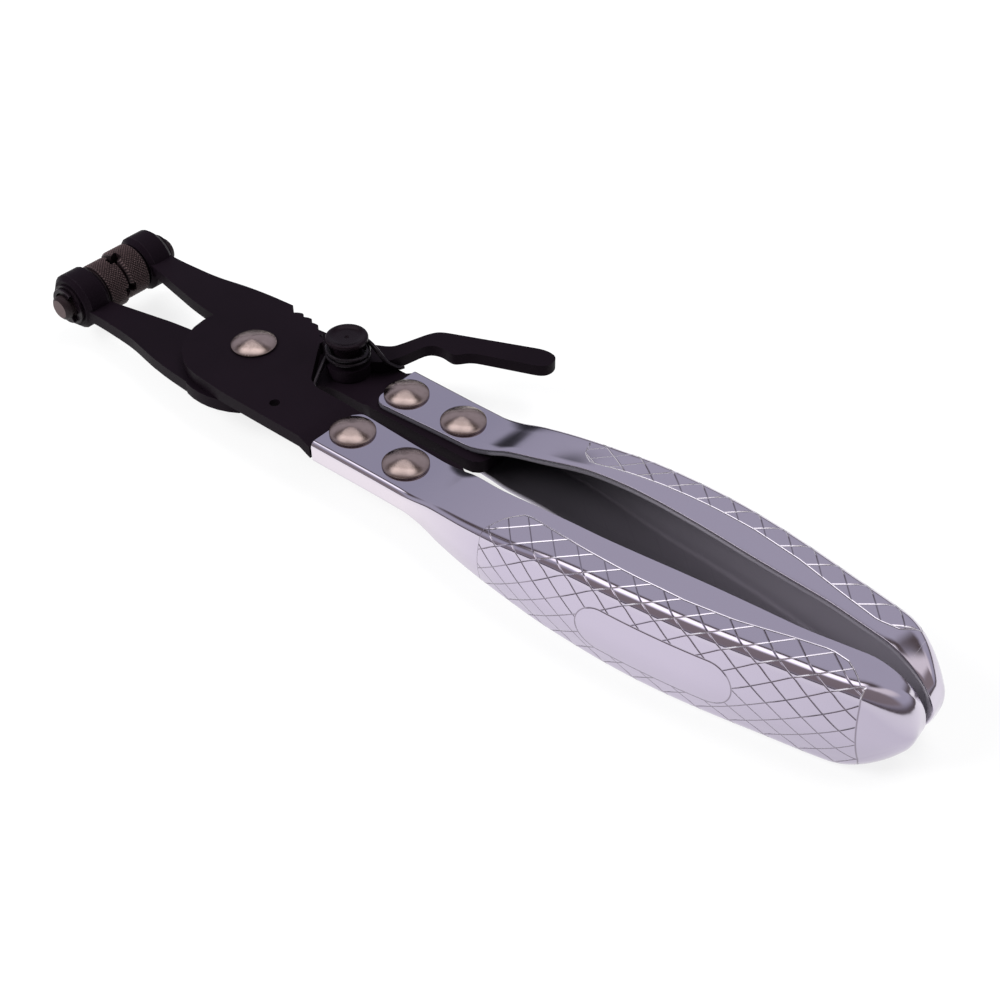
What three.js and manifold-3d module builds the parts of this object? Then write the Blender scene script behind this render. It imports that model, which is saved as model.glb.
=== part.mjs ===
// Hose clamp pliers: two crossed steel levers on one pivot rivet, swivelling jaws with knurled
// heads, a ratchet with a sprung release pawl, and two pressed steel handles riveted on.
//
// Millimetres. X runs from the jaws to the handles, +Y is the side of the release pawl, +Z is up.
// The levers turn about Z. The origin is the middle of the flat face of the pivot rivet's tail.
// The upper lever carries the jaw on the +Y side and the handle on the -Y side, and the lower
// lever the other two, so the levers cross at the pivot. The jaws are shown closed.

import * as THREE from "three";
import { mergeVertices } from "three/addons/utils/BufferGeometryUtils.js";
import Module from "manifold-3d";

const wasm = await Module();
wasm.setup();

// Levers: flat steel plates that lie on each other at the pivot, with their tails cranked into
// one plane so that both handles stand level.
const leverThickness = 3;
const leverGap = 0.1;
const shoulderRadius = 16.2;
const shoulderStart = 172;
const shoulderSweep = 90;
const shoulderSteps = 8;
const tailShoulderX = 7.6;
const tailShoulderRounding = 3;
const crankStart = 31.2;
const crankEnd = 34.2;
const jawReach = 49.5;
const jawAxisHeight = 0.4;
const jawStagger = 0.4;
const tailInnerEdge = 2.4;
const tailStopGap = 2.4;
const tailOuterEdge = 16.8;
const tailStepX = 22.5;
const tailStepShare = 0.65;
const tailStepRounding = 1;
const tailEndX = 66;
const tailEndRounding = 4;
const armCornerRounding = 4;
const anchorHole = { x: 19.3, y: -12.1, radius: 1.2 };

// Jaw bosses, and the turned swivel jaws that run in them.
const bossRadius = 6.9;
const bossLength = 7;
const bossChamfer = 1.1;
const jawHeadRadius = 6.2;
const jawHeadLength = 6.1;
const jawHeadChamfer = 0.7;
const jawFaceGap = 0.3;
const jawSideGap = 0.3;
const jawShankRadius = 3;
const jawShankEnd = 16.9;
const jawShankClearance = 0.15;
const jawSlotWidth = 2.2;
const jawSlotDepth = 1.4;
const jawSlotTurns = { upper: -9, lower: 6 };
const clipThickness = 0.8;
const clipRadius = 4.4;
const clipWebRadius = 3.4;
const clipGrooveDepth = 0.6;
const clipMouth = 76;
const clipLugHalf = 20;
const clipSteps = 32;
const jawWasherRadius = 5;
const jawWasherThickness = 0.7;
const slidingGap = 0.06;

// Pivot: a domed rivet through both levers, with a washer under its tail.
const pivotShankRadius = 4;
const pivotShankClearance = 0.2;
const pivotHeadRadius = 5.25;
const pivotHeadRim = 0.55;
const pivotHeadDome = 1.4;
const pivotWasherRadius = 7;
const pivotWasherThickness = 0.8;
const pivotTailRadius = 5.2;
const pivotTailHeight = 1.55;

// Ratchet: a toothed sector on the upper lever, and a pawl on a post on the lower lever.
const toothTipRadius = 15.8;
const toothRootRadius = 14.9;
const toothPitch = 11.5;
const toothSteepWidth = 2.5;
const toothCount = 5;
const firstToothTip = 43.5;
const sectorStepRadius = 17.3;
const sectorStepAngle = 104.8;
const sectorCorner = { x: 12.7, y: 7.7 };
const plainSectorRadius = 17.6;
const plainSectorEnd = 56;
const postX = 20.6;
const postY = 9.5;
const postShoulderRadius = 3.2;
const postShankRadius = 2.6;
const postShankClearance = 0.1;
const postCapRadius = 4.8;
const postCapThickness = 1.1;
const postCapTop = 9.6;
const postCapBevel = 0.35;
const postCapDish = 0.3;
const postTailRadius = 4;
const postTailHeight = 1.15;
const tailFaceShare = 0.82;
const pawlWasherRadius = 5;
const pawlWasherThickness = 0.3;
const pawlHubRadius = 5.2;
const pawlClearance = 0.2;
const pawlNoseClearance = 0.3;
const noseHubStart = 235;
const noseHubEnd = 115;
const pawlLift = 10.5;
const pawlReach = 36.3;
const pawlRise = 31;
const pawlRounding = 2.2;

// Torsion spring round the post: one leg on the upper lever's edge, one on the pawl.
const wireDiameter = 1.1;
const coilRadius = 4.6;
const coilPitch = 1.3;
const coilStart = 196;
const coilEnd = -640;
const coilStepsPerTurn = 8;
const wireSides = 5;
const springSeatGap = 0.15;
const springSideGap = 0.2;
const restShare = 0.86;
const restRiseShare = 0.72;
const restTopShare = 0.36;
const hookLeadShare = 1.2;
const hookShares = [0.15, 0.45, 0.72, 0.97];

// Handles: one pressed channel, used twice, turned over for the other lever.
const sheet = 1.3;
const handleFront = 34.7;
const handleEnd = 168.9;
const neckCorner = 1.4;
const gripHalfHeight = 10.5;
const gripCorner = 2.6;
const gripOuter = 18.6;
const wallCrown = 1.3;
const domeStart = 156.5;
const domeHeightPower = 2.2;
const domeEdgePower = 1.75;
const domeWidthPower = 2.6;
const domeTipPower = 8;
const domeTipShare = 0.24;
const domeCornerShare = 0.8;
const cavityLeastCorner = 0.2;
const tailSideGap = 0.4;
const neckFrontRounding = 2.5;

// Handle rivets: two domed rivets through each neck.
const frontRivetInset = 4.4;
const rivetSpacing = 15.7;
const frontRivet = { x: handleFront + frontRivetInset, y: 8.45 };
const rearRivet = { x: frontRivet.x + rivetSpacing, y: 9.1 };
const rivetHeadRadius = 5;
const rivetHeadRim = 0.7;
const rivetHeadDome = 1.3;
const rivetShankRadius = 2.5;
const rivetShankClearance = 0.1;
const rivetTailRadius = 4.1;
const rivetTailHeight = 1.2;

// Ways of cutting and facetting.
const overrun = 4;
const roundSegments = 24;
const mostOfSideShare = 0.45;
const weldDistance = 1e-4;

// Outline of a jaw arm, as shares of the reach to the jaw axis and of the boss's outer face.
const armInnerShares = [
  [0.885, 0.51],
  [0.81, 0.465],
  [0.505, 0.24],
  [0.385, 0.18],
];
const armOuterShares = [
  [0.24, 1.2],
  [0.385, 1.13],
  [0.545, 1.005],
  [0.715, 0.965],
  [0.85, 0.95],
];

// Outline of the pawl's body and finger arm from its post, as shares of its reach and its rise.
const pawlArmShares = [
  [0.187, 0.123],
  [0.236, 0.273],
  [0.277, 0.497],
  [0.357, 0.54],
  [0.456, 0.52],
  [0.489, 0.54],
  [0.544, 0.627],
  [0.975, 0.822],
  [1, 0.903],
  [0.972, 0.987],
  [0.876, 1],
  [0.239, 0.682],
  [0.198, 0.6],
  [0.143, 0.39],
  [0.113, 0.308],
  [-0.016, 0.234],
];

// Plan and height of the handle along its length: the inner edge and the outer ridge as shares of
// the grip's outer reach, and the heights of the ridge and of the inner edge as shares of the rise
// from the neck to the grip.
const handlePlanShares = [
  [0, 0.126, 0.898, 0, 0],
  [0.069, 0.151, 0.892, 0, 0],
  [0.136, 0.175, 0.887, 0, 0],
  [0.189, 0.189, 0.887, 0, 0],
  [0.207, 0.198, 0.892, 0.035, 0.035],
  [0.233, 0.226, 0.905, 0.13, 0.15],
  [0.263, 0.263, 0.938, 0.26, 0.33],
  [0.323, 0.333, 0.989, 0.43, 0.51],
  [0.397, 0.395, 1.018, 0.62, 0.78],
  [0.457, 0.409, 1.018, 0.8, 0.9],
  [0.516, 0.403, 1.008, 0.91, 0.95],
  [0.576, 0.374, 0.997, 0.965, 0.98],
  [0.636, 0.336, 0.968, 1, 1],
  [0.695, 0.296, 0.922, 1, 1],
  [0.755, 0.263, 0.855, 1, 1],
  [0.822, 0.228, 0.766, 1, 1],
  [0.874, 0.17, 0.699, 1, 1],
  [0.919, 0.12, 0.629, 1, 1],
  [1, 0.05, 0.47, 1, 1],
];

// Sizes that follow from the ones above.
const leverMiddle = (leverGap + leverThickness) / 2;
const leverTop = leverGap / 2 + leverThickness;
const tailHalf = leverThickness / 2;
const neckHalfHeight = tailHalf + sheet;
const bossInner = jawFaceGap / 2 + jawHeadLength + jawSideGap;
const bossOuter = bossInner + bossLength;
const handleLength = handleEnd - handleFront;
const tailEndShare = (tailEndX - handleFront) / handleLength;
const neckRows = handlePlanShares.filter(([share]) => share < tailEndShare);
const neckOuter = Math.min(...neckRows.map((row) => row[2])) * gripOuter;
const tailOuter = neckOuter - sheet - tailSideGap;
const pivotTailFace = leverTop + pivotWasherThickness + pivotTailHeight;
const pawlBottom = pawlWasherThickness + slidingGap - leverGap / 2;
const coilBottom = leverTop + springSeatGap + wireDiameter / 2;

// Each arm leans to its own plate's side, so its jaw axis stands a little off the other one.
const jawHeight = (side) => jawAxisHeight + side * jawStagger;

const degrees = (angle) => (angle * Math.PI) / 180;
const polar = (radius, angle, x = 0, y = 0) => [
  x + radius * Math.cos(degrees(angle)),
  y + radius * Math.sin(degrees(angle)),
];

// Geometry to solid and back, and the cuts and joins between solids.

function solid(geometry) {
  const loose = geometry.index ? geometry.toNonIndexed() : geometry;
  const bare = new THREE.BufferGeometry();
  bare.setAttribute("position", loose.getAttribute("position"));
  const merged = mergeVertices(bare, weldDistance);
  const mesh = new wasm.Mesh({
    numProp: 3,
    vertProperties: merged.attributes.position.array,
    triVerts: new Uint32Array(merged.index.array),
  });
  return new wasm.Manifold(mesh);
}

function geometryOf(body) {
  const mesh = body.getMesh();
  const geometry = new THREE.BufferGeometry();
  geometry.setAttribute("position", new THREE.BufferAttribute(mesh.vertProperties, 3));
  geometry.setIndex(new THREE.BufferAttribute(mesh.triVerts, 1));
  return geometry;
}

const joined = (bodies) => bodies.reduce((whole, body) => whole.add(body));
const cut = (body, tools) => tools.reduce((rest, tool) => rest.subtract(tool), body);

// A shape extruded upwards from one height to another.
function prism(shape, bottom, top) {
  const settings = { depth: top - bottom, bevelEnabled: false, curveSegments: 4 };
  return new THREE.ExtrudeGeometry(shape, settings).translate(0, 0, bottom);
}

// A closed outline through corner points, each rounded over a length along its two sides.
function roundedShape(points, rounding) {
  const corners = points.map(([x, y]) => new THREE.Vector2(x, y));
  const shape = new THREE.Shape();
  corners.forEach((corner, i) => {
    const before = corners[(i + corners.length - 1) % corners.length];
    const after = corners[(i + 1) % corners.length];
    const cutBack = Array.isArray(rounding) ? rounding[i] : rounding;
    const start = pointTowards(corner, before, cutBack);
    const end = pointTowards(corner, after, cutBack);
    if (i === 0) shape.moveTo(start.x, start.y);
    else shape.lineTo(start.x, start.y);
    if (cutBack > 0) shape.quadraticCurveTo(corner.x, corner.y, end.x, end.y);
  });
  shape.closePath();
  return shape;
}

// The point at a distance from one corner towards the next, and never past most of half the way.
function pointTowards(from, to, distance) {
  const length = from.distanceTo(to);
  const shareOfSide = Math.min(distance / length, mostOfSideShare);
  return from.clone().lerp(to, shareOfSide);
}

// A body turned about Z, given as radius and height pairs from its axis and back to it.
function turned(profile) {
  const points = profile.map(([radius, height]) => new THREE.Vector2(radius, height));
  return new THREE.LatheGeometry(points, roundSegments).rotateX(Math.PI / 2);
}

// A round bar along Z, for bores.
function bar(radius, bottom, top, x = 0, y = 0) {
  const height = top - bottom;
  const geometry = new THREE.CylinderGeometry(radius, radius, height, roundSegments);
  return solid(geometry.rotateX(Math.PI / 2).translate(x, y, (top + bottom) / 2));
}

// A flat ring about Z.
function ring(innerRadius, outerRadius, bottom, top) {
  return turned([
    [innerRadius, bottom],
    [outerRadius, bottom],
    [outerRadius, top],
    [innerRadius, top],
    [innerRadius, bottom],
  ]);
}

// A low dome as profile points, from the rim to the axis.
function domeProfile(radius, rimHeight, domeHeight, steps = 5) {
  const points = [];
  for (let i = 0; i <= steps; i += 1) {
    const turn = ((Math.PI / 2) * i) / steps;
    const reach = i === steps ? 0 : radius * Math.cos(turn);
    points.push([reach, rimHeight + domeHeight * Math.sin(turn)]);
  }
  return points;
}

// Levers. The upper lever's outline is drawn; the lower lever mirrors it in Y.

function toothedEdge() {
  const points = [];
  for (let i = 0; i < toothCount; i += 1) {
    const tip = firstToothTip + i * toothPitch;
    points.push(polar(toothRootRadius, tip - toothSteepWidth));
    points.push(polar(toothTipRadius, tip));
  }
  points.push(polar(toothRootRadius, firstToothTip + toothCount * toothPitch - toothSteepWidth));
  return points;
}

function plainEdge() {
  const points = [];
  const steps = 6;
  for (let i = 0; i <= steps; i += 1) {
    const angle = plainSectorEnd + ((sectorStepAngle - plainSectorEnd) * i) / steps;
    points.push(polar(plainSectorRadius, angle));
  }
  return points;
}

function leverOutline(sectorEdge) {
  const inner = armInnerShares.map(([x, y]) => [-x * jawReach, y * bossOuter]);
  const outer = armOuterShares.map(([x, y]) => [-x * jawReach, y * bossOuter]);
  const shoulder = [];
  for (let i = 0; i <= shoulderSteps; i += 1) {
    shoulder.push(polar(shoulderRadius, shoulderStart + (shoulderSweep * i) / shoulderSteps));
  }
  const tail = [
    [tailShoulderX, -tailOuterEdge],
    [handleFront - tailSideGap, -tailOuterEdge],
    [handleFront - tailSideGap, -tailOuter],
    [tailEndX, -tailOuter],
    [tailEndX, -tailStopGap / 2],
    [handleFront, -tailStopGap / 2],
    [crankStart, -tailInnerEdge],
    [tailStepX, -tailInnerEdge],
    [tailStepX - 2 * tailInnerEdge * tailStepShare, -tailInnerEdge / 2],
    [sectorCorner.x, sectorCorner.y],
  ];
  const tailRounding = [
    tailShoulderRounding,
    0,
    0,
    tailEndRounding,
    tailEndRounding,
    0,
    0,
    tailStepRounding,
    tailStepRounding,
    0,
  ];
  const points = [
    [-jawReach, bossInner],
    ...inner,
    ...shoulder,
    ...tail,
    ...sectorEdge,
    polar(sectorStepRadius, sectorStepAngle),
    ...outer,
    [-jawReach, bossOuter],
  ];
  const rounding = [
    0,
    ...inner.map(() => armCornerRounding / 2),
    ...shoulder.map(() => 0),
    ...tailRounding,
    ...sectorEdge.map(() => 0),
    0,
    ...outer.map(() => armCornerRounding),
    0,
  ];
  return roundedShape(points, rounding);
}

// The side view of the bent plate, wide enough to cut any outline to its thickness.
function crankedSlab() {
  const low = leverGap / 2;
  const front = -jawReach - overrun;
  const back = tailEndX + overrun;
  const shape = new THREE.Shape();
  shape.moveTo(front, low);
  shape.lineTo(crankStart, low);
  shape.lineTo(crankEnd, -tailHalf);
  shape.lineTo(back, -tailHalf);
  shape.lineTo(back, tailHalf);
  shape.lineTo(crankEnd, tailHalf);
  shape.lineTo(crankStart, leverTop);
  shape.lineTo(front, leverTop);
  shape.closePath();
  return solid(prism(shape, -jawReach, jawReach).rotateX(Math.PI / 2));
}

function jawBoss() {
  const profile = [
    [0, bossInner],
    [bossRadius - bossChamfer, bossInner],
    [bossRadius, bossInner + bossChamfer],
    [bossRadius, bossOuter - bossChamfer],
    [bossRadius - bossChamfer, bossOuter],
    [0, bossOuter],
  ];
  return solid(alongY(turned(profile)));
}

// A body turned about Z laid along the jaw axis, with +Z becoming +Y.
function alongY(geometry) {
  return geometry.rotateX(-Math.PI / 2).translate(-jawReach, 0, 0);
}

function flipped(geometry, x, y, z) {
  const copy = geometry.index ? geometry.toNonIndexed() : geometry.clone();
  copy.scale(x, y, z);
  if (x * y * z > 0) return copy;
  const place = copy.getAttribute("position");
  for (let i = 0; i < place.count; i += 3) {
    const [ax, ay, az] = [place.getX(i), place.getY(i), place.getZ(i)];
    place.setXYZ(i, place.getX(i + 1), place.getY(i + 1), place.getZ(i + 1));
    place.setXYZ(i + 1, ax, ay, az);
  }
  return copy;
}

// A lever with its jaw boss, on the +Y side, at the height of its own jaw axis, and its holes.
function lever(sectorEdge, axisHeight, extraHoles) {
  const outline = solid(prism(leverOutline(sectorEdge), -jawReach, jawReach));
  const plate = outline.intersect(crankedSlab());
  const boss = jawBoss().translate(0, 0, axisHeight);
  const shank = jawShankRadius + jawShankClearance;
  const bore = new THREE.CylinderGeometry(shank, shank, 2 * bossOuter, roundSegments);
  bore.translate(-jawReach, bossOuter, axisHeight);
  const rivetRadius = rivetShankRadius + rivetShankClearance;
  const rivetHoles = [frontRivet, rearRivet].map(({ x, y }) => throughHole(rivetRadius, x, -y));
  const pivotHole = throughHole(pivotShankRadius + pivotShankClearance, 0, 0);
  return cut(joined([plate, boss]), [solid(bore), ...rivetHoles, pivotHole, ...extraHoles]);
}

const throughHole = (radius, x, y) => bar(radius, -jawReach, jawReach, x, y);

function upperLever() {
  const smallHole = throughHole(anchorHole.radius, anchorHole.x, anchorHole.y);
  return geometryOf(lever(toothedEdge(), jawHeight(1), [smallHole]));
}

// The lower lever is the same plate turned over about X, without the teeth.
function lowerLever() {
  const postHole = throughHole(postShankRadius + postShankClearance, postX, -postY);
  const blank = lever(plainEdge(), -jawHeight(-1), [postHole]);
  return flipped(geometryOf(blank), 1, -1, -1);
}

// Rivets and turned pieces.

function pivotRivet() {
  const headSeat = leverTop + slidingGap;
  const tailSeat = -leverTop - pivotWasherThickness;
  return turned([
    [0, tailSeat - pivotTailHeight],
    [pivotTailRadius * tailFaceShare, tailSeat - pivotTailHeight],
    [pivotTailRadius, tailSeat - pivotTailHeight / 2],
    [pivotTailRadius, tailSeat],
    [pivotShankRadius, tailSeat],
    [pivotShankRadius, headSeat],
    [pivotHeadRadius, headSeat],
    ...domeProfile(pivotHeadRadius, headSeat + pivotHeadRim, pivotHeadDome),
  ]);
}

function handleRivet() {
  return turned([
    [0, -neckHalfHeight - rivetTailHeight],
    [rivetTailRadius * tailFaceShare, -neckHalfHeight - rivetTailHeight],
    [rivetTailRadius, -neckHalfHeight - rivetTailHeight / 2],
    [rivetTailRadius, -neckHalfHeight],
    [rivetShankRadius, -neckHalfHeight],
    [rivetShankRadius, neckHalfHeight],
    [rivetHeadRadius, neckHalfHeight],
    ...domeProfile(rivetHeadRadius, neckHalfHeight + rivetHeadRim, rivetHeadDome),
  ]);
}

function pawlPost() {
  const seat = -leverGap / 2;
  const capUnder = postCapTop - postCapThickness;
  return turned([
    [0, -leverTop - postTailHeight],
    [postTailRadius * tailFaceShare, -leverTop - postTailHeight],
    [postTailRadius, -leverTop - postTailHeight / 2],
    [postTailRadius, -leverTop],
    [postShankRadius, -leverTop],
    [postShankRadius, seat],
    [postShoulderRadius, seat],
    [postShoulderRadius, capUnder],
    [postCapRadius, capUnder],
    [postCapRadius, postCapTop - postCapBevel],
    [postCapRadius - postCapBevel, postCapTop],
    [postCapRadius - 2 * postCapBevel, postCapTop],
    [postCapRadius - 3 * postCapBevel, postCapTop - postCapDish],
    [0, postCapTop - postCapDish],
  ]);
}

// One turned piece: a head with a cross slot in its face, and a grooved shank for the clip.
function swivelJaw(slotTurn) {
  const face = jawFaceGap / 2;
  const back = face + jawHeadLength;
  const grooveStart = bossOuter + jawWasherThickness + 2 * slidingGap;
  const grooveEnd = grooveStart + clipThickness + 2 * slidingGap;
  const grooveRadius = jawShankRadius - clipGrooveDepth;
  const turnedPiece = turned([
    [0, face],
    [jawHeadRadius - jawHeadChamfer, face],
    [jawHeadRadius, face + jawHeadChamfer],
    [jawHeadRadius, back - jawHeadChamfer],
    [jawHeadRadius - jawHeadChamfer, back],
    [jawShankRadius, back],
    [jawShankRadius, grooveStart],
    [grooveRadius, grooveStart],
    [grooveRadius, grooveEnd],
    [jawShankRadius, grooveEnd],
    [jawShankRadius, jawShankEnd - jawHeadChamfer],
    [jawShankRadius - jawHeadChamfer, jawShankEnd],
    [0, jawShankEnd],
  ]);
  const across = 2 * (jawHeadRadius + overrun);
  const slots = [0, 90].map((turn) => {
    const slot = new THREE.BoxGeometry(across, jawSlotWidth, 2 * jawSlotDepth);
    return solid(slot.rotateZ(degrees(turn - slotTurn)).translate(0, 0, face));
  });
  return alongY(geometryOf(cut(solid(turnedPiece), slots)));
}

function jawWasher() {
  const bottom = bossOuter + slidingGap;
  const inner = jawShankRadius + jawShankClearance;
  return alongY(ring(inner, jawWasherRadius, bottom, bottom + jawWasherThickness));
}

// A snap clip: a web with three lugs that reach into the groove, open on one side.
function jawClip() {
  const bottom = bossOuter + jawWasherThickness + 3 * slidingGap;
  const grip = jawShankRadius - clipGrooveDepth + slidingGap;
  const lugs = [clipMouth, 180, 360 - clipMouth];
  const mouthEdge = clipMouth - clipLugHalf;
  const outerEdge = [];
  const innerEdge = [];
  for (let i = 0; i <= clipSteps; i += 1) {
    const angle = mouthEdge + ((360 - 2 * mouthEdge) * i) / clipSteps;
    const onLug = lugs.some((lug) => Math.abs(angle - lug) <= clipLugHalf);
    outerEdge.push(polar(clipRadius, angle));
    innerEdge.push(polar(onLug ? grip : clipWebRadius, angle));
  }
  const shape = roundedShape([...outerEdge, ...innerEdge.reverse()], 0);
  return alongY(prism(shape, bottom, bottom + clipThickness));
}

// Ratchet pawl. The nose is drawn where it sits in a tooth gap, then lifted about the post to
// the tips of the teeth, which is where the piece is shown.

function pawlNose() {
  const gap = firstToothTip - toothSteepWidth;
  const gentle = toothPitch - toothSteepWidth;
  const clearAngle = (pawlNoseClearance / toothRootRadius) * (180 / Math.PI);
  const outside = toothTipRadius + pawlNoseClearance;
  return [
    polar(toothRootRadius + pawlNoseClearance, gap - clearAngle / 2),
    polar(outside, gap - gentle),
    polar(pawlHubRadius, noseHubStart, postX, postY),
    polar(pawlHubRadius, noseHubEnd, postX, postY),
    polar(outside + pawlNoseClearance, gap + toothSteepWidth - 2 * clearAngle),
    polar(outside, gap + toothSteepWidth - clearAngle),
  ];
}

function pawl() {
  const nose = prism(roundedShape(pawlNose(), 0), pawlBottom, leverTop);
  nose.translate(-postX, -postY, 0).rotateZ(degrees(-pawlLift)).translate(postX, postY, 0);
  const armPoints = pawlArmShares.map(([x, y]) => [postX + x * pawlReach, postY + y * pawlRise]);
  const heel = [[postX, postY]];
  const rounding = [0, ...pawlArmShares.map(() => pawlRounding)];
  const arm = prism(roundedShape([...heel, ...armPoints], rounding), pawlBottom, leverTop);
  const hub = bar(pawlHubRadius, pawlBottom, leverTop, postX, postY);
  const boreRadius = postShoulderRadius + pawlClearance;
  const bore = bar(boreRadius, -overrun, leverTop + overrun, postX, postY);
  return geometryOf(cut(joined([hub, solid(nose), solid(arm)]), [bore]));
}

// Torsion spring: one tube that runs up a leg, round the coil and down the other leg.

function springPath() {
  const start = polar(coilRadius, coilStart, postX, postY);
  const end = polar(coilRadius, coilEnd, postX, postY);
  const rest = leverEdgeRest();
  const points = [];
  const add = ([x, y], z) => points.push(new THREE.Vector3(x, y, z));
  const between = (from, to, t) => from.map((value, i) => value + (to[i] - value) * t);
  add(between(start, rest, 1 + wireDiameter / legLength(start, rest)), leverGap + wireDiameter);
  add(rest, leverGap + 1.5 * wireDiameter);
  add(between(start, rest, restRiseShare), leverTop - wireDiameter / 2);
  add(between(start, rest, restTopShare), coilBottom - wireDiameter / 8);
  const sweep = coilStart - coilEnd;
  const steps = Math.round((sweep / 360) * coilStepsPerTurn);
  const coilTop = coilBottom + (coilPitch * sweep) / 360;
  for (let i = 0; i <= steps; i += 1) {
    const angle = coilStart - (sweep * i) / steps;
    const height = coilBottom + ((coilTop - coilBottom) * i) / steps;
    add(polar(coilRadius, angle, postX, postY), height);
  }
  const lead = polar(coilRadius * hookLeadShare, coilEnd - 90, ...end);
  const [over, beside, along, tip] = hookShares.map((share) => pawlEdgeSpot(share));
  add(between(end, lead, 1 / 2), coilTop - wireDiameter / 8);
  add(lead, coilTop - wireDiameter);
  add(over, leverTop + springSeatGap);
  add(beside, pawlBottom + 1.5 * wireDiameter);
  add(along, pawlBottom + wireDiameter / 2);
  add(tip, pawlBottom + wireDiameter / 2);
  return points;
}

const legLength = ([x1, y1], [x2, y2]) => Math.hypot(x2 - x1, y2 - y1);

// Where the spring's lower leg rests on the upper lever: beside the slanting edge of the plate.
function leverEdgeRest() {
  const from = new THREE.Vector2(sectorCorner.x, sectorCorner.y);
  const to = new THREE.Vector2(tailStepX - 2 * tailInnerEdge * tailStepShare, -tailInnerEdge / 2);
  const along = to.clone().sub(from).normalize();
  const away = new THREE.Vector2(-along.y, along.x);
  const spot = from.clone().lerp(to, restShare);
  return spot.addScaledVector(away, wireDiameter / 2 + springSideGap).toArray();
}

// A place for the upper leg beside the first side of the pawl's arm, at a share of that side.
function pawlEdgeSpot(share) {
  const [from, to] = pawlArmShares.slice(0, 2).map(([x, y]) => {
    return new THREE.Vector2(postX + x * pawlReach, postY + y * pawlRise);
  });
  const along = to.clone().sub(from).normalize();
  const away = new THREE.Vector2(along.y, -along.x);
  const spot = from.clone().lerp(to, share);
  return spot.addScaledVector(away, wireDiameter / 2 + springSideGap).toArray();
}

// The least distance between surfaces of stretches that aren't next to each other.
function leastGapToItself(points, diameter) {
  const apart = 2 * diameter;
  let least = Infinity;
  points.forEach((from, i) => {
    let along = 0;
    for (let j = i + 1; j < points.length; j += 1) {
      along += points[j].distanceTo(points[j - 1]);
      if (along > apart * 2) least = Math.min(least, from.distanceTo(points[j]) - diameter);
    }
  });
  return least;
}

// A round tube through points, with mitred rings carried along the path without twisting.
function tube(points, radius, sides) {
  const rings = [];
  let across = new THREE.Vector3(0, 0, 1);
  points.forEach((point, i) => {
    const before = points[Math.max(i - 1, 0)];
    const after = points[Math.min(i + 1, points.length - 1)];
    const along = after.clone().sub(before).normalize();
    across = across.clone().addScaledVector(along, -across.dot(along)).normalize();
    const beside = along.clone().cross(across);
    const ringPoints = [];
    for (let k = 0; k < sides; k += 1) {
      const turn = (2 * Math.PI * k) / sides;
      const reach = across.clone().multiplyScalar(radius * Math.cos(turn));
      reach.addScaledVector(beside, radius * Math.sin(turn));
      ringPoints.push(point.clone().add(reach));
    }
    rings.push(ringPoints);
  });
  return loft(rings);
}

// A closed skin over rings of points, each with as many points, and a flat cap at either end.
function loft(rings) {
  const count = rings[0].length;
  const corners = [];
  const face = (a, b, c) => corners.push(...a.toArray(), ...b.toArray(), ...c.toArray());
  for (let i = 0; i + 1 < rings.length; i += 1) {
    for (let k = 0; k < count; k += 1) {
      const next = (k + 1) % count;
      face(rings[i][k], rings[i][next], rings[i + 1][next]);
      face(rings[i][k], rings[i + 1][next], rings[i + 1][k]);
    }
  }
  cap(rings[0], (a, b, c) => face(a, c, b));
  cap(rings[rings.length - 1], face);
  const geometry = new THREE.BufferGeometry();
  geometry.setAttribute("position", new THREE.Float32BufferAttribute(corners, 3));
  return geometry;
}

// Triangles over a flat ring, in the plane it lies in.
function cap(ringPoints, face) {
  const [origin, second] = ringPoints;
  const across = second.clone().sub(origin).normalize();
  const normal = new THREE.Vector3();
  ringPoints.forEach((point, i) => {
    const next = ringPoints[(i + 1) % ringPoints.length];
    normal.add(point.clone().sub(origin).cross(next.clone().sub(origin)));
  });
  normal.normalize();
  const beside = normal.clone().cross(across);
  const flat = ringPoints.map((point) => {
    const reach = point.clone().sub(origin);
    return new THREE.Vector2(reach.dot(across), reach.dot(beside));
  });
  THREE.ShapeUtils.triangulateShape(flat, []).forEach(([a, b, c]) =>
    face(ringPoints[a], ringPoints[b], ringPoints[c]),
  );
}

// Handles.

// One column of the plan table at a share of the length, on a curve through its rows.
function planAt(share, column) {
  const rows = handlePlanShares;
  let i = 0;
  while (i < rows.length - 2 && share > rows[i + 1][0]) i += 1;
  const slope = (k) => {
    const low = Math.max(k - 1, 0);
    const high = Math.min(k + 1, rows.length - 1);
    return (rows[high][column] - rows[low][column]) / (rows[high][0] - rows[low][0]);
  };
  const width = rows[i + 1][0] - rows[i][0];
  const t = (share - rows[i][0]) / width;
  const flat = rows[i][column] === rows[i + 1][column];
  const startSlope = flat ? 0 : slope(i) * width;
  const endSlope = flat ? 0 : slope(i + 1) * width;
  const turn = t * t * (3 - 2 * t);
  const rise = rows[i][column] + (rows[i + 1][column] - rows[i][column]) * turn;
  return rise + startSlope * t * (1 - t) * (1 - t) - endSlope * t * t * (1 - t);
}

// A curve that falls from one to nothing as its share of the way grows, rounder for a high power.
const falling = (share, power) => (1 - share ** power) ** (1 / power);

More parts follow.
